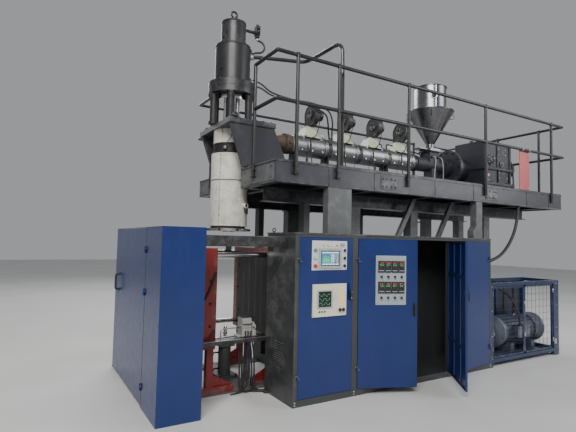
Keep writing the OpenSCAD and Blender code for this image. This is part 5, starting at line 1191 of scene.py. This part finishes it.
def fan_details():
    """Rims, rivets, inlet guard, blades, motor ribs and terminal box of each blower."""
    fans = Part("fan_detail", "black_metal")
    guards = Part("fan_guards", zinc)
    r, wide = 142.0, 70.0
    for x in BLOWER_X:
        fans.turn = guards.turn = at(x - 15, FAN_Y, FAN_Z)
        for side_x, out in ((0, -X), (wide, X)):
            fans.lathe((side_x, 0, 0), out, [(-2, r - 4), (0, r + 4), (3, r + 4), (3, r - 4)], 56)
        for u in map(spoke, angles(10, 0.3)):
            fans.cyl(u * (r - 1) - X * 7, u * (r - 1) - X * 2.5, 4.5, 10)
        fans.lathe((0, 0, 0), -X, [(-1, 55.5), (-1, 68), (5, 68), (11, 62), (11, 57), (3, 55.5)], 40)
        for u in map(spoke, angles(7)):
            v = X.cross(u)
            blade = [X * 30 + u * 14, X * 30 + u * 30 + v * 6, X * 30 + u * 50 + v * 16]
            fans.sweep(blade, 1, square=(3, 34))
        for wire_r in (14, 28, 42, 56):
            wire = [(0, wire_r - 1.6), (-1.6, wire_r), (0, wire_r + 1.6), (1.6, wire_r)]
            guards.lathe((-7, 0, 0), X, wire, 36)
        for u in map(spoke, angles(4, 0.4)):
            guards.sweep([u * 8 - X * 7, u * 60 - X * 7], 1.8, 8)
        for u in map(spoke, angles(18)):
            v = X.cross(u) * 1.6
            rib = (u * 56 - v, u * 66 - v, u * 66 + v, u * 56 + v)
            fans.prism([p.yz for p in rib], wide + 10, wide + 88, "x")
        fans.box((wide + 18, -98, -26), (wide + 72, -56, 24)).box((0, 40, -154), (wide + 6, 148, -147))
    fans.done(0.7)
    guards.done()


def barrel_lead_details():
    """Black leads from the fans over the covers, thermocouples and conduit elbows."""
    leads = line_part("barrel_leads", wire_black)
    couples = line_part("thermocouples", zinc)
    for x, sway in zip(BLOWER_X, (-34, -26, -48, -20)):
        low_x = x + sway
        leads.hose([(x + 92, -170, 404), (x + 80, -176, 344), (x + 60, -152, 190), (x + 20, -142, 122),
                    on_cover(low_x, 30, 9), on_cover(low_x - 3, 2, 7), on_cover(low_x + 2, -28, 8),
                    (low_x + 6, -150, -190), (low_x + 24, -165, -330), (low_x + 60, -175, DECK + 8),
                    (low_x + 150, -180, DECK + 7)], 6.5)
    for x0, x1 in COVERS:
        for share in (0.22, 0.8):
            x = x0 + share * (x1 - x0)
            p = on_cover(x, 40, 12)
            leads.hose([p, p + Vector((0, -20, 26)), p + Vector((30, -34, -20)), on_cover(x + 46, -10, 8),
                        on_cover(x + 50, -50, 10), (x + 54, -90, -260), (x + 60, -120, DECK + 6)], 3.2, 8)
            couples.lathe(on_cover(x, 40, -2), rise(40), stepped(11, 9, 6, 16), 12)
    leads.done()
    couples.done()
    head = [(0, 0), (0, 13), (24, 13), (30, 18), (44, 18), (48, 13), (48, 0)]
    heads = line_part("thermocouple_heads", pale_plastic)
    heads.lathes([on_cover(x, 78, -1) for x in (-800, -764, -648, 300, 468)], Z, head, 16).done()
    conduit = line_part("barrel_conduit", "hose_black")
    conduit.hose([(350, -10, 143), (350, -10, 190), (344, -10, 204), (325, -10, 208), (266, -6, 206),
                  (205, 0, 198)], 10, 12, 5)
    conduit.hose([(452, -10, 143), (452, -10, 206), (458, -10, 220), (476, -10, 224), (560, -6, 224),
                  (612, 0, 218)], 10, 12, 5)
    conduit.hose([(742, 0, 210), (820, 40, 208), (990, 70, 204), (1180, 90, 200), (1300, 100, 190),
                  (1335, 100, 150)], 10, 12, 5).done()
    bolts = line_part("stand_bolts", zinc)
    for x in (-1244, STAND_X[0], STAND_X[2]):
        bolts.bolts(grid((x - 42, x + 42), (-118, 118), DECK + 16), Z, 16)
    bolts.done()


def throat_details():
    bolts = line_part("throat_bolts", "dark_steel")
    for x, r, out, size, washer in ((1046, 123.5, -X, 7, False), (1076, 123.5, X, 7, False),
                                    (1710, 122, -X, 14, True)):
        # The hopper's foot leaves no room at the top of a circle
        bolts.bolts([p for p in wheel(x, r, 8, 0.39) if p.z < 110], out, size, washer)
    bolts.bolts(grid((HOPPER_X - 106, HOPPER_X + 106), (-106, 0, 106), 270), Z, 13)
    water_x = (HOPPER_X - 70, HOPPER_X + 70)
    bolts.lathes(grid(water_x, -100, 120), -Y, stepped(20, 8, 13, 26), 6, False).done()
    water = line_part("water_hoses", wire_grey)
    for x, s in zip(water_x, (-1, 1)):
        water.hose([(x, -126, 120), (x, -170, 112), (x + 14 * s, -196, 20), (x + 34 * s, -190, -180),
                    (x + 30 * s, -180, DECK + 60), (x + 60 * s, -176, DECK + 9),
                    (x + 190 * s, -190, DECK + 9)], 8, 10, 7)
    water.done()


def hopper_details():
    part = maker(turn=at(HOPPER_X, 0, AXIS_Z))
    cone_top, drum_top, cone_r, drum_r = 880.0, 1300.0, 375.0, 258.0
    rims = part("hopper_rims", "stainless")
    shoulder = [(-5, cone_r - 1), (-4, cone_r + 4), (0, cone_r + 7), (10, cone_r + 7), (14, cone_r + 3),
                (14.2, cone_r - 1)]
    rims.lathe((0, 0, cone_top + 1), Z, shoulder, 96)
    r = drum_r + 7
    rolled_edge = [(-12, r), (-9, r + 4), (-3, r + 4), (0.6, r), (0.6, r - 10.6), (-6, r - 10.6), (-6, r)]
    rims.lathe((0, 0, drum_top), Z, rolled_edge, 96)
    for degrees in (-118, 62):
        u = level(math.radians(degrees)) * (drum_r + 0.4)
        rims.sweep([u + Z * (cone_top + 20), u + Z * (drum_top - 13)], 1, square=(16, 2))
    for p in around(cone_r - 22, 16, 11, cone_top + 14):
        rims.cyl(p, p + Z * 5, 7, 12)
    rims.done()
    loops = part("hopper_fittings", "dark_steel")
    for degrees in (45, 135, 225, 315):
        p, u = side(cone_r - 24, degrees, cone_top - 40)
        loops.sweep([p - u * 6, p + u * 26 - Z * 6, p + u * 26 - Z * 70, p - u * 38 - Z * 76], 5)
    loops.done()
    p, u = side(drum_r - 1, -125, drum_top - 190)
    frame_profile = [(-6, 34), (-6, 56), (9, 56), (11, 52), (11, 36), (3, 34)]
    part("hopper_sight_glass", "machined_steel").lathe(p, u, frame_profile, 32).done()
    part("hopper_pane", screen_dark).lathe(p, u, [(0.5, 0), (0.5, 35), (5, 35), (5, 0)], 32).done()


def gearbox_details():
    part = maker(turn=at(2235, -450, AXIS_Z))
    long, wide, low, top = 750.0, 580.0, -280.0, 460.0
    joints = ((20, Z), (-20, -Z))
    bolts = part("gearbox_bolts", "dark_steel")
    for x, (z, out) in itertools.product(range(12, 721, 118), joints):
        bolts.bolts(grid(x, (-12, wide + 12), z), out, 15)
    for y, (z, out) in itertools.product(range(20, 171, 50), joints):
        bolts.bolt((-12, y, z), out, 15)
    bolts.bolts(grid((-22, 160, 560, long + 22), -24, low + 40), Z, 20)
    bolts.turn = at(0, 0, AXIS_Z)
    bolts.bolts(wheel(1840, 265, 12), -X, 20).done()
    bearings = ((180, 140, 92, 80), (460, 90, 50, 42))
    caps = part("gearbox_caps", "gearbox_dark")
    for x, z, r, _ in bearings:
        cap = [(-2, 0), (-2, r), (12, r), (16, r - 4), (16, r - 24), (26, r - 34), (26, 0)]
        caps.lathe((x, 0, z), -Y, cap, 40)
    for x in (60, 340, long - 60):
        caps.prism(rect(x - 7, 20, x + 7, top - 10), -16, 2, "y")
    caps.prism(rect(60, 60, long - 60, 250), top - 2, top + 12).done(2.0, 2)
    covers = part("gearbox_covers", "black_metal").box((392, -5, low + 120), (640, 1, low + 232))
    covers.box((372, -5, top - 215), (590, 1, top - 95)).done(1.0)
    bolts = part("gearbox_cover_bolts", zinc)
    bolts.bolts(grid((406, 626), -5, (low + 134, low + 218)), -Y, 8)
    bolts.bolts(grid((386, 576), -5, (low + 539, low + 631)), -Y, 8)
    for x, z, _, r in bearings:
        bolts.bolts([(x + r * math.cos(a), -15, z + r * math.sin(a)) for a in angles(6, 0.5)], -Y, 8)
    bolts.bolts(grid(range(75, 671, 85), (72, 238), top + 12), Z, 8).done()
    # The oil glass uses the glowing amber display material: a painted glow, no lamp lights it.
    part("oil_sight_glass", bar_amber).cyl((110, -8, low + 160), (110, -2, low + 160), 15).done()
    eye = part("oil_sight_ring", "machined_steel")
    eye.lathe((110, 0, low + 160), -Y, [(0, 15.2), (0, 24), (10, 24), (12, 21), (12, 15.2)], 28)
    eye.cyl((110, 0, low + 70), (110, -16, low + 70), 13, 6).done()


def drive_details():
    """Fan cowl, terminal box and lead of the drive motor."""
    part = maker(turn=at(3262, -170, DECK_Z + 531))
    motor = part("drive_motor_detail", "black_metal")
    cowl = [(-30, 169), (-30, 174), (2, 174), (8, 168), (8, 150), (3, 148), (3, 60), (8, 56), (8, 0), (-2, 0),
            (-2, 169)]
    motor.lathe((-7, 0, 0), X, cowl, 56)
    for u in map(spoke, angles(24)):
        motor.sweep([u * 55, u * 152], 1, square=(4, 5))
    motor.box((-212, -90, 150), (-82, 50, 218)).box((-217, -95, 218), (-77, 55, 226)).done(1.2)
    part("drive_motor_lead", "hose_black").hose(
        [(-147, -88, 184), (-147, -140, 180), (-142, -210, 60), (-152, -240, -200), (-172, -260, -471),
         (-202, -300, -517), (-362, -420, -518)], 13, 12, 7).done()


barrel_cover_details()
band_details()
cowl_details()
fan_details()
barrel_lead_details()
throat_details()
hopper_details()
gearbox_details()
drive_details()


# Pump motor cage
PUMP_Y, PUMP_Z = -960.0, 401.0


def cage_details():
    part = maker(turn=at(1216.5, FRONT, 60))
    long, deep, high = 1694.0, 600.0, 1085.0
    skin = part("cage_back_skin", cage_shadow)
    for x0, x1 in ((50, 933), (985, long - 52)):
        skin.box((x0, deep - 8, 8), (x1, deep - 4, high - 52))
    skin.boxes(grid((200, 520, 800, 1180, 1440), deep, 0), (0, -22, 8), (26, -8, high - 52)).done(0.6)
    gate = part("cage_gate_frame", "cage_blue")
    for x0, x1 in ((54, 800), (806, long - 143)):
        gate.boxes(grid(0, 0, (53, high - 77)), (x0, 12, 0), (x1, 19.6, 24))
        gate.boxes(grid((x0, x1 - 24), 0, 0), (0, 12, 53), (24, 19.6, high - 53))
    gate.done(0.8)
    latches = part("cage_latches", zinc)
    for z in (300, high - 330):
        latches.box((786, 5, z), (820, 12.2, z + 46)).cyl((803, 5, z + 23), (803, -2, z + 23), 9, 16)
    latches.bolts(grid((25, long - 70), 0, (60, 360, 700, 1035)), -Y, 9, False)
    for x, y, z in grid((54, long - 143), 8, (150, high - 190)):
        latches.cyl((x, y, z), (x, y, z + 60), 7, 14)
    latches.done()
    part("cage_top_edge", "platform_dark").box((0, -0.8, high - 5), (long, 40, high + 1.5)).done(0.6)
    part("cage_post_plate", "panel_grey").box((long - 124, -1.6, 110), (long - 64, 0, 190)).done(0.4)
    places = grid((25, long - 25), (25, deep - 25), 0)
    part("cage_feet", "dark_steel").boxes(places, (-24, -24, -59.5), (24, 24, -52)).done(0.8)


def pump_motor_details():
    part = maker(turn=at(1750, PUMP_Y, PUMP_Z))
    motor = part("pump_motor_detail", motor_pale).box((146, -284, -64), (424, -269.5, 94))
    cowl = [(-40, 214.5), (-40, 219), (0, 219), (5, 214), (5, 200), (-2, 200), (-2, 214.5)]
    motor.lathe((930, 0, 0), X, cowl, 56)
    flange = [(-18, 214.5), (-18, 219), (0, 219), (5, 212), (5, 120), (12, 112), (12, 34), (-2, 34),
              (-2, 214.5)]
    motor.lathe((-60, 0, 0), -X, flange, 56)
    motor.lathe((470, 0, 190), Z, [(0, 0), (0, 26), (20, 22), (38, 12), (38, 0)], 20).done(1.2)
    eye = part("pump_motor_eye", "dark_steel")
    circle = angles(24) + [TAU]
    eye.sweep([(470 + 30 * math.sin(a), 0, 256 - 30 * math.cos(a)) for a in circle], 8)
    for u in map(spoke, angles(8, 0.39)):
        eye.bolt(X * 932 + u * 207, X, 10, False).bolt(u * 190 - X * 62, -X, 10, False)
    eye.bolts(grid((164, 406), -284, (-46, 76)), -Y, 8, False)
    eye.bolts(grid((105, 615), (-222, 222), -295), Z, 20).done()
    grille = part("pump_motor_grille", "black_metal")
    for r in (40, 80, 120, 160, 196):
        grille.lathe((926, 0, 0), X, [(0, r - 2), (-2, r), (0, r + 2), (2, r)], 40)
    for u in map(spoke, angles(8)):
        grille.sweep([X * 926 + u * 10, X * 926 + u * 203], 2.4, 8)
    grille.done()
    part("pump_motor_lead", "hose_black").hose(
        [(200, -262, 88), (198, -258, 240), (170, -160, 480), (120, 60, 640), (60, 210, 664),
         (-233.5, 210, 669), (-531.5, 210, 669)], 15, 12).done()


def pump_details():
    """Pump with its pipes and flanges."""
    part = maker(turn=at(1330, PUMP_Y, PUMP_Z))
    pump = part("pump_detail", motor_pale)
    pump.lathe((0, 0, 0), -X, [(-2, 0), (-2, 104), (10, 104), (16, 98), (16, 70), (34, 64), (34, 0)], 40)
    pump.lathe((112, 0, 88), Z, [(0, 0), (0, 56), (46, 56), (46, 48), (64, 48), (64, 0)])
    pump.box((50, -150, -44), (176, -92, 44)).done(1.5, 2)
    bolts = part("pump_bolts", zinc).bolts(wheel(-9, 86, 6), -X, 13)
    bolts.bolts([X * 112 + level(a) * 42 + Z * 151 for a in angles(4, 0.8)], Z, 9, False)
    bolts.bolts(grid((64, 162), -150, (-30, 30)), -Y, 9, False)
    bolts.bolts(grid((4, 216), (-210, 190), -295), Z, 16).done()
    pipes = part("pump_delivery_pipe", pipe_pale)
    pipes.hose([(112, 0, 148), (112, 0, 240), (118, -20, 420), (190, -60, 520), (300, -40, 480),
                (380, 60, 420), (400, 180, 410), (400, 281, 410)], 26, 16)
    pipes.hose([(112, -148, 0), (112, -190, 0), (60, -220, 40), (10, -200, 210), (4, -100, 420),
                (4, 100, 500), (4, 281, 500)], 19, 14).done()
    flanges = part("pump_pipe_flanges", zinc).cyl((112, 0, 152), (112, 0, 176), 40, 24, 2)
    flanges.cyl((400, 262, 410), (400, 282, 410), 42, 24, 2)
    flanges.cyl((4, 262, 500), (4, 282, 500), 32, 24, 2).done()
    rings = Part("cable_hose_rings", "hose_black").cyl((1247, -1100, 1425), (1268, -1100, 1425), 29, 6)
    rings.cyl((2130, -1100, 2245), (2130, -1100, 2268), 29, 6).done()


cage_details()
pump_motor_details()
pump_details()


# Clamp unit
RAM_Z, TIE_Y, TIE_Z, PLATEN_LOW, PLATEN_TOP = 1035.0, 530.0, (575, 1495), 500.0, 1570.0
ENDS = ((-2930.0, -1), (-1378.0, 1))


def platen_details(body, s, face, leg):
    """One platen's face plates, slots, fittings, bushes and runners; s points to its back."""
    part = maker(body, at(face))
    # The near-black face plates are dark steel with the shade of the mould gap painted in.
    skin = part(body + "_face_plate", platen_face)
    low, top = PLATEN_LOW + 60, PLATEN_TOP - 90
    for y0, y1 in ((-472, -412), (-388, 388), (412, 472)):
        skin.box((0, y0, low), (-12 * s, y1, top))
    for z0, z1 in ((low, RAM_Z - 312), (RAM_Z - 288, RAM_Z + 288), (RAM_Z + 312, top)):
        skin.boxes(grid(0, (-412, 388), 0), (0, 0, z0), (-12 * s, 24, z1))
    skin.done(1.0)
    # Black strips on the face stand in for the T-slots: painted shade of the recesses.
    slots = part(body + "_slots", "black_metal")
    slots.boxes(grid(0, (-250, -90, 90, 250), 0), (-12 * s, -9, low + 20), (-13.2 * s, 9, top - 20)).done()
    fittings = part(body + "_fittings", "dark_steel")
    places = grid(-12 * s, (-452, 452), (PLATEN_LOW + 90, RAM_Z, PLATEN_TOP - 120))
    fittings.lathes(places, -X * s, socket_head(11, 10, 1.5, 5.5, 6), 14)
    for y, out in ((-600, -Y), (600, Y)):
        fittings.lathes(grid(69 * s, y, (740, 980, 1220)), out, stepped(14, 10, 9, 24), 6, False)
    fittings.done()
    bush = [(-6, 58), (-6, 64), (6, 64), (9, 60), (9, 36), (0, 36), (0, 58)]
    places = grid(167 * s, (-TIE_Y, TIE_Y), TIE_Z)
    part(body + "_bushes", "machined_steel").lathes(places, X * s, bush, 32).done()
    runners = part(body + "_runners", "dark_steel")
    for y in (-leg, leg):
        places = ((145 * s, y, 90), (-53 * s, y + 23.5, 90), (-203 * s, y + 23.5, 90))
        runners.bolts(places, Z, 10, False)
        runners.boxes(grid(0, y, (440, 350)), (0, -30, -18), (6.5 * s, 30, 18))
    runners.done(0.6)


def bed_details():
    rails = Part("clamp_bed_rails", "ground_steel")
    for s in (-1, 1):
        rails.box((-2846, s * 494, 20), (-2240, s * 482, 27)).box((-2070, s * 500, 20), (-1462, s * 488, 27))
    rails.done(0.6)
    places = grid((-2830, -2600, -2400, -1900, -1700, -1480), (-424, 424), 20)
    Part("clamp_bed_bolts", "dark_steel").lathes(places, Z, socket_head(14, 12, 2, 7, 8), 14).done()


def clamp_end_details():
    """Tie bar ends, cylinder bolts and caps, hoses and ribs of the two end plates."""
    ties = Part("tie_bar_threads", "dark_steel")
    bolts = Part("clamp_cylinder_bolts", "dark_steel")
    caps = Part("clamp_cylinder_caps", "cylinder_dark")
    hoses = Part("clamp_hoses", "hose_black")
    ribs = Part("end_plate_ribs", "dark_steel")
    for x, s in ENDS:
        end = [(-4, 0), (-4, 29), (3, 26), (3, 10), (-1.5, 6), (-1.5, 0)]
        ties.lathes(grid(x + 55 * s, (-TIE_Y, TIE_Y), TIE_Z), X * s, end)
        washer = [(0, 54), (0, 66), (4, 66), (4, 54)]
        ties.lathes(grid(x, (-TIE_Y, TIE_Y), TIE_Z), X * s, washer, 32)
        bolts.bolts([p + Z * RAM_Z for p in wheel(x + 30 * s, 127, 10, 0.3)], X * s, 16)
        cap = [(-26, 109.5), (-26, 114), (0, 114), (4, 109), (4, 60), (12, 56), (12, 0), (-2, 0), (-2, 109.5)]
        caps.lathe((x + 268 * s, 0, RAM_Z), X * s, cap, 48)
        for port, y in ((70, 40), (222, 80)):
            caps.lathe((x + port * s, 0, RAM_Z + 104), Z, stepped(24, 16, 17, 34), 6, False)
            hoses.turn = at(x + port * s, 0, RAM_Z)
            hoses.hose([(0, 0, 136), (0, 0, 170), (0, y, 230), (0, y + 120, 210), (-4 * s, 300, 20),
                        (-8 * s, 340, -500), (-10 * s, 352, -875), (-10 * s, 372, -980),
                        (-10 * s, 420, -1013), (-10 * s, 470, -1021), (-10 * s, 520, -1021)], 13, 12)
        ribs.boxes(grid(x, (-500, -200, 200, 500), 0), (0, -8, 20), (60 * s, 8, 90))
    ties.done()
    bolts.done()
    caps.done()
    hoses.done()
    ribs.done(0.8)


def manifold_details():
    """Pale valve bodies with coils on dark blocks, their post and hoses."""
    coils = head_part("manifold_coils", "black_metal")
    for x in range(-59, 32, 18):
        coils.cyl((x, -635, 742), (x, -652, 742), 6, 14).cyl((x, -635, 700), (x, -641, 700), 3, 10)
        coils.box((x - 5.5, -632, 809), (x + 5.5, -508, 819))
    coils.cyl((70, -630, 700), (70, -646, 700), 8, 16).cyl((93, -625, 680), (93, -640, 680), 6, 16).done(0.6)
    skin = head_part("manifold_post_skin", "platform_dark").box((-32, -652, 2), (32, -603, 601))
    skin.box((-112, -652, 603), (112, -649.7, 615)).done(0.8)
    fittings = head_part("manifold_fittings", zinc)
    fittings.lathes(grid((-90, -60, 60, 90), -560, 605.3), -Z, stepped(13, 14, 9, 34), 6, False)
    fittings.lathes(grid((-40, -8, 24), -628, 662), -Y, stepped(10, 9, 6, 18), 6, False)
    fittings.bolts(((-98, -640, 613.3), (102, -500, 613.3)), Z, 10).done()
    hoses = head_part("manifold_hoses", "hose_black")
    for i, x in enumerate((-90, -60, 60, 90)):
        hoses.hose([(x, -560, 574), (x, -562, 530), (x + 2, -598, 440), (x + 4, -622, 260), (x + 4, -626, 80),
                    (x + 40, -630 - 5 * i, 18), (x + 110, -640 - 10 * i, 12), (164, -680 - 22 * i, 12),
                    (201, -694 - 24 * i, 13)], 9)
    for x in (-40, -8, 24):
        hoses.hose([(x, -645, 662), (x, -661, 658), (x - 8, -666, 600), (x - 14, -666, 420),
                    (x - 20, -664, 200), (x - 60, -652, 40), (x - 150, -640, 9)], 7)
    hoses.done()
    head_part("manifold_post_foot", "dark_steel").box((-70, -662, 20), (70, -592, 30)).done(0.8)


def service_details():
    """Beam across the operator's side with a painted highlight strip on its top edge, its pipe and the left
    platen's hoses.
    """
    Part("service_beam", "black_metal").box((-2848, -712, 560), (-1952.2, -680, 600)).done(1.2)
    # The bright steel strip on the beam's top is a painted highlight.
    Part("service_beam_highlight", "machined_steel").box((-2848, -712, 600), (-1952.2, -680, 603)).done()
    Part("service_pipe", "machined_steel").hose(
        [(-2500, -696, 602), (-2500, -696, 670), (-2492, -696, 712), (-2450, -696, 724), (-2310, -692, 724),
         (-2262, -640, 724), (-2244, -600, 724), (-2219, -600, 724)], 7).done()
    hoses = Part("platen_hoses", "hose_black", "left_platen")
    for x0, z0, x1, z1 in ((-2528, 1300, -2646, 1040), (-2530, 690, -2650, 560)):
        hoses.hose([(x0, -560, z0 + 10), (x0 - 12, -612, z0), ((x0 + x1) / 2, -616, (z0 + z1) / 2),
                    (x1, -612, z1), (x1 - 30, -560, z1 - 50)], 9)
    hoses.done()


def blow_pin_details():
    collar = [(0, 19.5), (0, 27), (16, 27), (20, 23), (20, 19.5)]
    Part("blow_pin_detail", "machined_steel", "blow_pin", at(HEAD_X)).lathe((0, 0, 520), Z, collar, 28).done()
    table = head_part("blow_table_bolts", "dark_steel")
    table.bolts(grid((-100, 100), (-125, 125), 45), Z, 18).bolts(grid((-78, 78), (-78, 78), 410), Z, 14)
    table.lathe((0, 0, 410.2), Z, [(0, 22), (0, 52), (14, 52), (20, 46), (20, 22)], 36)
    ports = (110, 300)
    table.lathes(grid(-74, 0, ports), -X, stepped(15, 12, 10, 26), 6, False).done()
    hoses = head_part("blow_table_hoses", "hose_black")
    for z in ports:
        hoses.hose([(-98, 0, z), (-130, 0, z), (-165, 30, z - 40), (-170, 120, 60), (-150, 240, 30),
                    (-100, 420, 30)], 9)
    hoses.done()


platen_details("left_platen", -1, -2519.0, 536.0)
platen_details("right_platen", 1, -1789.0, 450.0)
bed_details()
clamp_end_details()
manifold_details()
service_details()
blow_pin_details()
